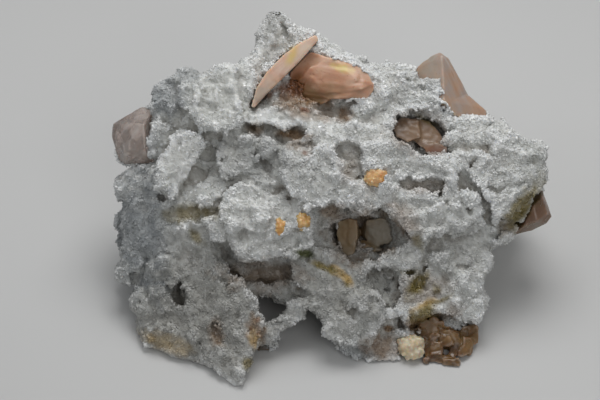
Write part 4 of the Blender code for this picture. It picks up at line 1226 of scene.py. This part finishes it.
    def grow_points(self, rng: np.random.Generator, foot: np.ndarray, normal: np.ndarray,
                    full: np.ndarray) -> np.ndarray:
        """Grow a three-sided quartz point on each foot.

        Args:
            rng: the source of chance.
            foot: where the points stand.
            normal: which way the skin faces there.
            full: how full the stone is around them.

        Returns:
            Three base corners and a tip for each point.
        """
        up = normal + rng.normal(0.0, self.point_tilt, (self.point_count, 3))
        up /= np.linalg.norm(up, axis=1)[:, None]
        size = self.point_radius * rng.lognormal(0.0, 0.32, self.point_count)
        size *= 1.25 - 0.5 * np.clip(full * 2.0 - 0.6, 0.0, 1.0)
        smooth = stain_masks(foot.astype(np.float32))[StainKind.SMOOTH.value]
        size *= 1.0 - 0.4 * smooth
        side = np.cross(up, rng.normal(size=up.shape))
        side /= np.linalg.norm(side, axis=1)[:, None]
        front = np.cross(up, side)
        base = foot - up * (0.35 * size)[:, None]
        ring = []
        for corner in range(3):
            turn = math.tau * corner / 3
            reach = size * rng.uniform(0.8, 1.15, self.point_count)
            ring.append(base + (side * math.cos(turn) + front * math.sin(turn)) * reach[:, None])
        tall = size * rng.uniform(0.9, 1.4, self.point_count) * (1.0 - 0.2 * smooth)
        lean = (side * rng.normal(0.0, 0.12, (self.point_count, 1))
                + front * rng.normal(0.0, 0.12, (self.point_count, 1)))
        tip = base + up * tall[:, None] + lean * size[:, None]
        return np.stack(ring + [tip], axis=1)

    def build_points(self) -> list:
        """Stand small quartz points on the skin and join them into three pieces.

        Returns:
            The new objects.
        """
        rng = np.random.default_rng(self.seed + 1)
        foot, normal, full = self.pick_feet(rng)
        cloud = self.grow_points(rng, foot, normal, full)
        pattern = np.array(((0, 1, 3), (1, 2, 3), (2, 0, 3), (2, 1, 0)))
        names = ("quartz_points_left", "quartz_points_middle", "quartz_points_right")
        pieces = []
        for name, group in zip(names, np.array_split(np.argsort(foot[:, 0]), len(names))):
            body = cloud[group].reshape(-1, 3)
            faces = (pattern[None] + 4 * np.arange(len(group))[:, None, None]).reshape(-1, 3)
            spots = {label: np.repeat(values, 4)
                     for label, values in self.masks(foot[group].astype(np.float32)).items()}
            # Painted highlight: each point's tip gets more of the edge mask, so it is whitened more.
            spots["edge"][3::4] = np.minimum(spots["edge"][3::4] + 0.35, 1.0)
            pieces.append(make_mesh(name, body, faces, spots))
            LOG.info("%s has %d triangles", name, len(faces))
        return pieces


def new_group(name: str, inputs: dict, outputs: dict) -> bpy.types.NodeTree:
    """Make an empty shader node group.

    Args:
        name: the group's name.
        inputs: socket kinds by name.
        outputs: socket kinds by name.

    Returns:
        The group, with its input and output nodes.
    """
    group = bpy.data.node_groups.new(name, "ShaderNodeTree")
    for label, kind in inputs.items():
        group.interface.new_socket(label, in_out="INPUT", socket_type=kind)
    for label, kind in outputs.items():
        group.interface.new_socket(label, in_out="OUTPUT", socket_type=kind)
    group.nodes.new("NodeGroupInput").name = "in"
    group.nodes.new("NodeGroupOutput").name = "out"
    return group


@dataclass
class Wiring:
    """Short calls for adding and joining nodes in one tree."""

    tree: bpy.types.NodeTree

    def node(self, kind: str, **settings: object) -> bpy.types.Node:
        """Add a node.

        Args:
            kind: the node's type.
            settings: properties to set on it.

        Returns:
            The node.
        """
        made = self.tree.nodes.new(kind)
        for label, value in settings.items():
            setattr(made, label, value)
        return made

    def join(self, start: bpy.types.NodeSocket, end: bpy.types.NodeSocket) -> None:
        """Link two sockets."""
        self.tree.links.new(start, end)

    def put(self, socket: bpy.types.NodeSocket, value: object) -> None:
        """Set a socket's value, or link it where the value is a socket.

        Args:
            socket: the socket.
            value: a constant or another socket.
        """
        if isinstance(value, bpy.types.NodeSocket):
            self.join(value, socket)
        else:
            socket.default_value = value

    def maths(self, operation: str, first: object, second: object,
              clamp: bool = False) -> bpy.types.NodeSocket:
        """Add a sum on two values.

        Args:
            operation: the kind of sum.
            first: a number or a socket.
            second: a number or a socket.
            clamp: whether the result stays from 0 to 1.

        Returns:
            The result's socket.
        """
        made = self.node("ShaderNodeMath", operation=operation, use_clamp=clamp)
        self.put(made.inputs[0], first)
        self.put(made.inputs[1], second)
        return made.outputs[0]

    def blend(self, share: object, first: object, second: object) -> bpy.types.NodeSocket:
        """Mix one colour over another.

        Args:
            share: how much of the second colour shows.
            first: the colour below.
            second: the colour above.

        Returns:
            The mixed colour's socket.
        """
        made = self.node("ShaderNodeMix", data_type="RGBA", blend_type="MIX")
        self.put(made.inputs[0], share)
        self.put(made.inputs[6], first)
        self.put(made.inputs[7], second)
        return made.outputs[2]

    def tint(self, label: str, strength: float, base: object, above: tuple) -> bpy.types.NodeSocket:
        """Mix a colour over another where a mask lies.

        Args:
            label: the mask's name.
            strength: how much of the colour shows where the mask is full.
            base: the colour below.
            above: the colour above, from 0 to 255.

        Returns:
            The mixed colour's socket.
        """
        share = self.maths("MULTIPLY", self.mask(label), strength)
        return self.blend(share, base, colour(*above))

    def noise(self, vector: object, scale: object, detail: float = 2.0,
              roughness: float = 0.5) -> bpy.types.NodeSocket:
        """Add a noise texture.

        Args:
            vector: the place's socket.
            scale: how many swells lie on a metre.
            detail: how many finer layers it has.
            roughness: how strong these are.

        Returns:
            The value's socket.
        """
        made = self.node("ShaderNodeTexNoise")
        self.join(vector, made.inputs["Vector"])
        self.put(made.inputs["Scale"], scale)
        self.put(made.inputs["Detail"], detail)
        self.put(made.inputs["Roughness"], roughness)
        return made.outputs["Fac"]

    def ramp(self, value: object, low: float, high: float, to_low: float = 0.0,
             to_high: float = 1.0) -> bpy.types.NodeSocket:
        """Stretch a value from one range to another and hold it there.

        Args:
            value: the value's socket.
            low: the start of its range.
            high: the end of its range.
            to_low: the start of the new range.
            to_high: the end of the new range.

        Returns:
            The new value's socket.
        """
        made = self.node("ShaderNodeMapRange", clamp=True)
        self.put(made.inputs[0], value)
        for slot, number in zip((1, 2, 3, 4), (low, high, to_low, to_high)):
            self.put(made.inputs[slot], number)
        return made.outputs[0]

    def mask(self, label: str) -> bpy.types.NodeSocket:
        """Return a mask that the mesh carries."""
        return self.node("ShaderNodeAttribute", attribute_name=label).outputs["Fac"]

    def grain(self, group: bpy.types.NodeTree, place: bpy.types.NodeSocket, fineness: float,
              mottle: float) -> dict:
        """Add the sugary grain.

        Args:
            group: the grain group.
            place: the place's socket.
            fineness: how many grains lie on a metre.
            mottle: how many mottles lie on a metre.

        Returns:
            The sockets of its height, sparkle and mottling.
        """
        made = self.node("ShaderNodeGroup", node_tree=group)
        self.join(place, made.inputs["Position"])
        made.inputs["Grain"].default_value = fineness
        made.inputs["Mottle"].default_value = mottle
        return made.outputs

    def stain(self, group: bpy.types.NodeTree, base: bpy.types.NodeSocket,
              broken: bpy.types.NodeSocket, layers: tuple) -> bpy.types.NodeSocket:
        """Lay ragged stains over a colour, one after another.

        Args:
            group: the stain group.
            base: the colour below.
            broken: the value that makes their edges ragged.
            layers: the kinds of stain with their colours.

        Returns:
            The stained colour's socket.
        """
        for layer in layers:
            step = self.node("ShaderNodeGroup", node_tree=group)
            self.put(step.inputs["Base"], base)
            step.inputs["Stain"].default_value = colour(*layer.tint)
            amount = self.maths("MULTIPLY", self.mask(layer.kind.value), layer.amount)
            self.put(step.inputs["Amount"], amount)
            self.put(step.inputs["Break"], broken)
            base = step.outputs["Color"]
        return base

    def relief(self, shader: bpy.types.Node, height: bpy.types.NodeSocket, strength: float,
               distance: float) -> None:
        """Let a height bend the shader's normal.

        Args:
            shader: the shader node.
            height: the height's socket.
            strength: how strongly it bends.
            distance: how tall the height is, in metres.
        """
        made = self.node("ShaderNodeBump")
        made.inputs["Strength"].default_value = strength
        made.inputs["Distance"].default_value = distance
        self.join(height, made.inputs["Height"])
        self.join(made.outputs["Normal"], shader.inputs["Normal"])


def colour(red: float, green: float, blue: float) -> tuple:
    """Turn a display colour into linear values.

    Args:
        red: its red from 0 to 255.
        green: its green.
        blue: its blue.

    Returns:
        Linear red, green and blue, and a full alpha.
    """
    parts = []
    for value in (red, green, blue):
        share = value / 255.0
        parts.append(share / 12.92 if share <= 0.04045 else ((share + 0.055) / 1.055) ** 2.4)
    return (*parts, 1.0)


def make_sugar_group() -> bpy.types.NodeTree:
    """Make the group that gives a sugary grain.

    Returns:
        The group, which gives a height, a sparkle mask and a mottling value.
    """
    group = new_group("sugar grain", {"Position": "NodeSocketVector", "Grain": "NodeSocketFloat",
                                      "Mottle": "NodeSocketFloat"},
                      {"Height": "NodeSocketFloat", "Sparkle": "NodeSocketFloat",
                       "Mottling": "NodeSocketFloat"})
    wire = Wiring(group)
    source = group.nodes["in"].outputs
    result = group.nodes["out"].inputs
    cells = wire.node("ShaderNodeTexVoronoi", feature="F1")
    wire.join(source["Position"], cells.inputs["Vector"])
    wire.join(source["Grain"], cells.inputs["Scale"])
    fine = wire.noise(source["Position"], 2600.0, 2.0)
    height = wire.maths("ADD", cells.outputs["Distance"], wire.maths("MULTIPLY", fine, 0.5))
    wire.join(height, result["Height"])
    chance = wire.node("ShaderNodeSeparateColor")
    wire.join(cells.outputs["Color"], chance.inputs[0])
    wire.join(wire.ramp(chance.outputs[0], 0.90, 0.98), result["Sparkle"])
    wire.join(wire.noise(source["Position"], source["Mottle"], 4.0), result["Mottling"])
    return group


def make_stain_group() -> bpy.types.NodeTree:
    """Make the group that lays one ragged stain over a colour.

    Returns:
        The group.
    """
    group = new_group("ragged stain", {"Base": "NodeSocketColor", "Stain": "NodeSocketColor",
                                       "Amount": "NodeSocketFloat", "Break": "NodeSocketFloat"},
                      {"Color": "NodeSocketColor"})
    wire = Wiring(group)
    source = group.nodes["in"].outputs
    broken = wire.maths("MULTIPLY", wire.maths("SUBTRACT", source["Break"], 0.5), 0.9)
    amount = wire.maths("ADD", source["Amount"], wire.maths("MULTIPLY", broken, source["Amount"]),
                        clamp=True)
    mixed = wire.blend(amount, source["Base"], source["Stain"])
    wire.join(mixed, group.nodes["out"].inputs["Color"])
    return group


def object_position(wire: Wiring) -> bpy.types.NodeSocket:
    """Return the place on the object in its own coordinates."""
    return wire.node("ShaderNodeTexCoord").outputs["Object"]


def new_material(name: str) -> tuple:
    """Make a material.

    Args:
        name: the material's name.

    Returns:
        The material, its wiring and its shader node.
    """
    material = bpy.data.materials.new(name)
    material.use_nodes = True
    wire = Wiring(material.node_tree)
    return material, wire, material.node_tree.nodes["Principled BSDF"]


@dataclass(frozen=True)
class StainLayer:
    """How one kind of stain colours a finish, and how strongly."""

    kind: StainKind
    tint: tuple
    amount: float = 1.0


DRUSE_STAINS = (
    # Grey is partly the stone's own grey and partly painted shade low on the face.
    StainLayer(StainKind.GREY_AND_SHADE, (134, 132, 125)),
    StainLayer(StainKind.BLUE, (140, 144, 146), 0.9),
    StainLayer(StainKind.GREEN, (86, 92, 48)),
    StainLayer(StainKind.TAN, (140, 112, 82)),
    StainLayer(StainKind.CREAM, (200, 170, 112)),
    StainLayer(StainKind.OLIVE, (128, 114, 62)),
    StainLayer(StainKind.RUST, (120, 74, 40)),
)
STILBITE_STAINS = (
    StainLayer(StainKind.CREAM, (212, 188, 122)),
    StainLayer(StainKind.RUST, (122, 62, 28)),
    StainLayer(StainKind.TAN, (136, 106, 72)),
    # Grey is partly the crystals' own grey and partly painted shade low on the face.
    StainLayer(StainKind.GREY_AND_SHADE, (156, 148, 134)),
    StainLayer(StainKind.OLIVE, (112, 98, 50)),
)


@dataclass(frozen=True)
class DruseFinish:
    """The white, sparkling finish of the quartz druse with its stains, painted highlights and painted
    shade.
    """

    white: tuple = (216, 217, 213)
    grey: tuple = (196, 196, 192)
    # Painted highlight laid on convex edges and point tips.
    painted_edge_highlight: tuple = (244, 245, 244)
    # Painted glint: near-white laid on a few random grains.
    glint: tuple = (252, 252, 252)
    # Painted shade: shade goes into small hollows and depths into wide recesses.
    shade: tuple = (150, 138, 122)
    depths: tuple = (128, 108, 86)
    roughness: float = 0.34
    glint_roughness: float = 0.12
    fineness: float = 1500.0
    mottle: float = 190.0
    bump_distance: float = 0.00025
    refraction: float = 1.54
    scatter: tuple = (1.0, 0.95, 0.88)
    scatter_depth: float = 0.0025

    def make(self, name: str, sugar: bpy.types.NodeTree, stain: bpy.types.NodeTree,
             bump: float, glow: float) -> bpy.types.Material:
        """Make the material.

        Args:
            name: the material's name.
            sugar: the grain group.
            stain: the stain group.
            bump: how strongly the grain stands out.
            glow: how much of the light scatters under the skin.

        Returns:
            The material.
        """
        material, wire, shader = new_material(name)
        grain = wire.grain(sugar, object_position(wire), self.fineness, self.mottle)
        mottling = grain["Mottling"]
        sparkle = grain["Sparkle"]
        base = wire.blend(wire.ramp(mottling, 0.35, 0.68), colour(*self.grey), colour(*self.white))
        # Painted highlight: convex edges and point tips are whitened.
        base = wire.tint("edge", 0.8, base, self.painted_edge_highlight)
        # Painted glints: the sparkle grains get a near-white base colour as well as a lower roughness.
        base = wire.blend(wire.ramp(sparkle, 0.0, 1.0, 0.0, 0.75), base, colour(*self.glint))
        # Painted shade: small hollows and wide recesses are darkened towards brown.
        base = wire.tint("hollow", 0.45, base, self.shade)
        base = wire.tint("deep", 0.35, base, self.depths)
        base = wire.stain(stain, base, mottling, DRUSE_STAINS)
        wire.join(base, shader.inputs["Base Color"])
        wire.join(wire.ramp(sparkle, 0.0, 1.0, self.roughness, self.glint_roughness),
                  shader.inputs["Roughness"])
        wire.relief(shader, grain["Height"], bump, self.bump_distance)
        shader.inputs["IOR"].default_value = self.refraction
        shader.inputs["Subsurface Weight"].default_value = glow
        shader.inputs["Subsurface Radius"].default_value = self.scatter
        shader.inputs["Subsurface Scale"].default_value = self.scatter_depth
        return material


@dataclass(frozen=True)
class StilbiteFinish:
    """A translucent stilbite finish with streaks along the crystal, specks of dirt, stains from its masks
    and a painted highlight on its edges.
    """

    body: tuple
    pale: tuple
    dark: tuple
    # Painted highlight laid on convex edges.
    painted_rim_highlight: tuple = (236, 220, 206)
    dust: tuple = (110, 58, 28)
    roughness: float = 0.34
    transmission: float = 0.0
    subsurface: float = 0.7
    turn: float = 0.0
    streaks: float = 420.0
    streak_stretch: tuple = (0.10, 1.0, 1.0)
    dirt: float = 0.15
    fineness: float = 1900.0
    mottle: float = 200.0
    bump: float = 0.35
    bump_distance: float = 0.0003
    refraction: float = 1.50
    scatter: tuple = (1.0, 0.55, 0.35)
    scatter_depth: float = 0.0025

    def streak(self, wire: Wiring, place: bpy.types.NodeSocket) -> bpy.types.NodeSocket:
        """Add the streaks along the crystal.

        Args:
            wire: the material's wiring.
            place: the place's socket.

        Returns:
            Their value's socket.
        """
        leaning = wire.node("ShaderNodeMapping", vector_type="TEXTURE")
        leaning.inputs["Rotation"].default_value = (-FACE.lean, 0.0, 0.0)
        turned = wire.node("ShaderNodeMapping")
        turned.inputs["Rotation"].default_value = (0.0, self.turn, 0.0)
        stretched = wire.node("ShaderNodeMapping")
        stretched.inputs["Scale"].default_value = self.streak_stretch
        for mapping in (leaning, turned, stretched):
            wire.join(place, mapping.inputs["Vector"])
            place = mapping.outputs["Vector"]
        return wire.noise(place, self.streaks, 3.0, 0.6)

    def make(self, name: str, sugar: bpy.types.NodeTree, stain: bpy.types.NodeTree) -> bpy.types.Material:
        """Make the material.

        Args:
            name: the material's name.
            sugar: the grain group.
            stain: the stain group.

        Returns:
            The material.
        """
        material, wire, shader = new_material(name)
        place = object_position(wire)
        streak = self.streak(wire, place)
        cloud = wire.noise(place, 130.0, 3.0, 0.6)
        speck = wire.noise(place, 900.0, 2.0, 0.6)
        base = wire.blend(wire.ramp(cloud, 0.38, 0.62), colour(*self.body), colour(*self.pale))
        base = wire.blend(wire.ramp(streak, 0.45, 0.75, 0.0, 0.55), base, colour(*self.dark))
        # Painted highlight: convex edges are paled.
        base = wire.tint("edge", 0.35, base, self.painted_rim_highlight)
        base = wire.blend(wire.ramp(speck, 0.64, 0.74, 0.0, self.dirt), base, colour(*self.dust))
        base = wire.stain(stain, base, speck, STILBITE_STAINS)
        wire.join(base, shader.inputs["Base Color"])
        wire.join(wire.ramp(streak, 0.3, 0.7, self.roughness - 0.08, self.roughness + 0.12),
                  shader.inputs["Roughness"])
        grain = wire.grain(sugar, place, self.fineness, self.mottle)
        height = wire.maths("ADD", streak, wire.maths("MULTIPLY", grain["Height"], 0.08))
        wire.relief(shader, height, self.bump, self.bump_distance)
        shader.inputs["IOR"].default_value = self.refraction
        shader.inputs["Transmission Weight"].default_value = self.transmission
        shader.inputs["Subsurface Weight"].default_value = self.subsurface
        shader.inputs["Subsurface Radius"].default_value = self.scatter
        shader.inputs["Subsurface Scale"].default_value = self.scatter_depth
        return material


@dataclass(frozen=True)
class StilbitePiece:
    """One stilbite crystal or ball: its node, its finish and how finely and deeply it is ribbed."""

    node: str
    slot: str
    finish: StilbiteFinish
    step: float = 0.36
    rib_height: float = 0.10
    rib_width: float = 0.9
    rib_stretch: float = 0.08
    swell_cell: float = 2.4
    swell_share: float = 0.6
    soften: float = 0.0
    soften_cell: float = 1.4
    merge: float = 0.0
    facet: float = 0.0
    facet_cell: float = 2.8
    grow: float = 0.0
    band: int = 5
    crumb_points: int = 200

    def build_field(self) -> DistanceGrid:
        """Fill a distance field from the solid, merged and grown as the piece asks.

        Returns:
            The field.
        """
        points, triangles = node_arrays(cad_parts[self.node])
        low = np.floor(points.min(axis=0) / self.step - self.band) * self.step
        high = np.ceil(points.max(axis=0) / self.step + self.band) * self.step
        grid = DistanceGrid(step=self.step, low=tuple(low), high=tuple(high), band=self.band)
        grid.values = grid.fill(points, triangles)
        if self.merge > 0.0:
            grid.values -= self.merge
            skin, quads = grid.skin()
            halves = np.concatenate((quads[:, (0, 1, 2)], quads[:, (0, 2, 3)]))
            grid.values = grid.fill(skin, halves) + self.merge
        grid.values -= self.grow
        return grid

    def add_ribs(self, grid: DistanceGrid) -> None:
        """Rib, soften and facet the skin.

        Args:
            grid: the field.
        """
        flat, cells = grid.band_cells(1.3)
        cosine, sine = math.cos(self.finish.turn), math.sin(self.finish.turn)
        along = cells[:, 0] * cosine + cells[:, 2] * sine
        across = cells[:, 2] * cosine - cells[:, 0] * sine
        bent = np.column_stack((along * self.rib_stretch, cells[:, 1], across)).astype(np.float32)
        shift = self.rib_height * swell_noise(bent, self.rib_width, 3)
        shift += self.swell_share * self.rib_height * swell_noise(cells, self.swell_cell, 5)
        if self.soften > 0.0:
            shift += self.soften * (lump_noise(cells, self.soften_cell, 9)[0] - 0.62)
        if self.facet > 0.0:
            shift += self.facet * lump_noise(cells, self.facet_cell, 13)[1]
        grid.values.ravel()[flat] += shift

    def build(self) -> bpy.types.Object:
        """Build the ribbed crystal from its solid.

        Returns:
            The new object.
        """
        grid = self.build_field()
        self.add_ribs(grid)
        fullness = box_mean((grid.values < 0.0).astype(np.float32), 2)
        skin, quads = grid.skin()
        quads = quads[main_body(skin, quads, self.crumb_points)]
        used, renumbered = np.unique(quads, return_inverse=True)
        spots = stain_masks(skin[used])
        # Convex edges, which the finish paints with a highlight.
        spots["edge"] = np.clip((0.44 - grid.sample(skin[used], fullness)) * 4.0, 0.0, 1.0)
        piece = make_mesh(self.node + "_ribbed", skin[used], renumbered.reshape(quads.shape), spots)
        piece.data.shade_smooth()
        LOG.info("%s has %d triangles", piece.name, 2 * len(quads))
        return piece


def orange_ball(node: str, body: tuple, pale: tuple, dark: tuple) -> StilbitePiece:
    """Describe one orange crystal ball.

    Args:
        node: its node.
        body: its colour.
        pale: its paler colour.
        dark: the colour of its streaks.

    Returns:
        The piece.
    """
    finish = StilbiteFinish(body=body, pale=pale, dark=dark, streaks=700.0, dirt=0.4)
    return StilbitePiece(node, "orange_balls", finish, step=0.25, rib_height=0.08, soften=1.0, grow=0.35)


PIECES = (
    StilbitePiece("stilbite_blade", "peach_blade",
                  StilbiteFinish(body=(206, 170, 146), pale=(216, 194, 176), dark=(186, 142, 114),
                                 turn=math.radians(47), dirt=0.05)),
    StilbitePiece("stilbite_fan", "peach_fan",
                  StilbiteFinish(body=(192, 146, 118), pale=(202, 168, 144), dark=(170, 118, 84),
                                 turn=math.radians(-8), dirt=0.4)),
    StilbitePiece("stilbite_crystal_top_right", "peach_crystal",
                  StilbiteFinish(body=(182, 152, 130), pale=(166, 156, 150), dark=(168, 128, 100),
                                 turn=math.radians(-62))),
    StilbitePiece("stilbite_crystal_left", "clear_crystal",
                  StilbiteFinish(body=(206, 192, 184), pale=(216, 208, 202), dark=(182, 150, 134),
                                 roughness=0.14, transmission=0.7, subsurface=0.1,
                                 turn=math.radians(60)), rib_height=0.05),
    StilbitePiece("stilbite_crystal_right", "brown_crystal",
                  StilbiteFinish(body=(146, 110, 86), pale=(152, 126, 106), dark=(106, 76, 56),
                                 roughness=0.2, transmission=0.3, turn=math.radians(60)),
                  rib_height=0.05),
    StilbitePiece("stilbite_crystals_in_hollow", "hollow_crystals",
                  StilbiteFinish(body=(138, 122, 90), pale=(150, 138, 112), dark=(108, 90, 60),
                                 subsurface=0.15, turn=math.radians(88)), soften=0.5),
    StilbitePiece("stilbite_crystals_in_pocket", "pocket_crystals",
                  StilbiteFinish(body=(122, 100, 86), pale=(130, 114, 104), dark=(98, 70, 52),
                                 subsurface=0.2, turn=math.radians(-30)), soften=0.3),
    StilbitePiece("stilbite_cluster_lower_right", "brown_cluster",
                  StilbiteFinish(body=(104, 72, 36), pale=(148, 116, 74), dark=(42, 28, 14),
                                 roughness=0.22, transmission=0.15, dirt=0.5, turn=0.6),
                  merge=0.75, facet=0.7),
    StilbitePiece("glassy_disc_crystal", "grey_crystal",
                  StilbiteFinish(body=(96, 88, 78), pale=(120, 112, 100), dark=(60, 50, 40),
                                 roughness=0.12, transmission=0.6, turn=0.7), rib_height=0.04),
    orange_ball("orange_ball_right", (206, 146, 78), (220, 186, 136), (160, 92, 32)),
    orange_ball("orange_ball_left", (208, 162, 96), (222, 192, 142), (166, 104, 44)),
    orange_ball("orange_ball_middle", (208, 166, 102), (222, 196, 146), (170, 110, 50)),
    StilbitePiece("cream_cluster", "cream_balls",
                  StilbiteFinish(body=(206, 192, 160), pale=(214, 208, 196), dark=(176, 142, 84),
                                 streaks=700.0, dirt=0.3), rib_height=0.08, soften=1.4, grow=0.3),
)


@dataclass(frozen=True)
class Softbox:
    """A square soft light that looks at the specimen: place and side in metres, power in watts."""

    name: str
    place: tuple
    side: float
    power: float
    tint: tuple = (1.0, 1.0, 1.0)
    target: tuple = (0.0, 0.0, 0.03)

    def hang(self) -> None:
        """Hang the light."""
        data = bpy.data.lights.new(self.name, "AREA")
        data.shape = "SQUARE"
        data.size = self.side
        data.energy = self.power
        data.color = self.tint
        lamp = bpy.data.objects.new(self.name, data)
        lamp.location = self.place
        aim = Vector(self.target) - Vector(self.place)
        lamp.rotation_euler = aim.to_track_quat("-Z", "Y").to_euler()
        bpy.context.scene.collection.objects.link(lamp)


SOFTBOXES = (
    Softbox("top softbox", (0.02, 0.12, 0.42), 0.26, 1.00),
    Softbox("front softbox", (0.22, -0.66, 0.60), 0.45, 1.05),
    Softbox("left fill", (-0.7, -0.2, 0.4), 0.5, 0.6, (0.93, 0.96, 1.0)),
)


@dataclass(frozen=True)
class Studio:
    """A pale floor, soft light and the camera on the face, in metres and millimetres of sensor."""

    distance: float = 0.700
    view_width: float = 0.168
    sensor: float = 36.0
    near_end: float = 0.02
    floor_side: float = 4.0
    floor_place: tuple = (0.0, 0.3, -0.0001)
    floor_roughness: float = 0.7
    glow: tuple = (0.80, 0.81, 0.82, 1.0)
    glow_strength: float = 0.37

    def build_floor(self) -> None:
        """Lay the floor just under the base."""
        bpy.ops.mesh.primitive_plane_add(size=self.floor_side, location=self.floor_place)
        floor = bpy.context.object
        floor.name = "studio_floor"
        material, wire, shader = new_material("pale floor")
        faint = wire.noise(object_position(wire), 6.0, 3.0)
        tone = wire.blend(wire.ramp(faint, 0.3, 0.7), colour(196, 196, 195), colour(201, 201, 200))
        wire.join(tone, shader.inputs["Base Color"])
        shader.inputs["Roughness"].default_value = self.floor_roughness
        floor.data.materials.append(material)

    def build_light(self) -> None:
        """Hang the lights and set the room's faint glow."""
        for softbox in SOFTBOXES:
            softbox.hang()
        world = bpy.data.worlds.new("studio glow")
        world.use_nodes = True
        background = world.node_tree.nodes["Background"]
        background.inputs[0].default_value = self.glow
        background.inputs[1].default_value = self.glow_strength
        bpy.context.scene.world = world

    def build_camera(self) -> None:
        """Set the camera square to the face."""
        data = bpy.data.cameras.new("specimen camera")
        data.sensor_width = self.sensor
        data.lens = self.sensor * self.distance / self.view_width
        data.clip_start = self.near_end
        camera = bpy.data.objects.new("specimen camera", data)
        bpy.context.scene.collection.objects.link(camera)
        middle = np.array([[FACE.middle_x, -self.distance / MM, FACE.middle_z]])
        camera.location = FACE.to_world(middle)[0]
        camera.rotation_euler = (math.radians(90.0) - FACE.lean, 0.0, 0.0)
        bpy.context.scene.camera = camera


def dress_druse(body: DruseBody, finish: DruseFinish, sugar: bpy.types.NodeTree,
                stain: bpy.types.NodeTree) -> None:
    """Build the druse, give it its finish and set it on the frame.

    Args:
        body: the druse.
        finish: its finish.
        sugar: the grain group.
        stain: the stain group.
    """
    skin_look = finish.make("druse skin", sugar, stain, bump=0.4, glow=0.85)
    point_look = finish.make("quartz points", sugar, stain, bump=0.1, glow=0.0)
    for look, pieces in ((skin_look, body.build_skin()), (point_look, body.build_points())):
        for piece in pieces:
            piece.data.materials.append(look)
            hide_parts(body.node)
            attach(piece, "root")


def main() -> None:
    """Build the specimen and its studio."""
    logging.basicConfig(level=logging.INFO, format="%(message)s")
    sugar = make_sugar_group()
    stain = make_stain_group()
    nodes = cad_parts
    body = DruseBody()
    body.build_field([nodes[piece.node] for piece in PIECES])
    dress_druse(body, DruseFinish(), sugar, stain)
    for piece in PIECES:
        crystal = piece.build()
        crystal.data.materials.append(piece.finish.make(piece.node.replace("_", " "), sugar, stain))
        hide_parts(piece.node)
        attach(crystal, "root")
    studio = Studio()
    studio.build_floor()
    studio.build_light()
    studio.build_camera()
    bpy.context.scene.view_settings.view_transform = "Standard"


if __name__ == "__main__":
    main()
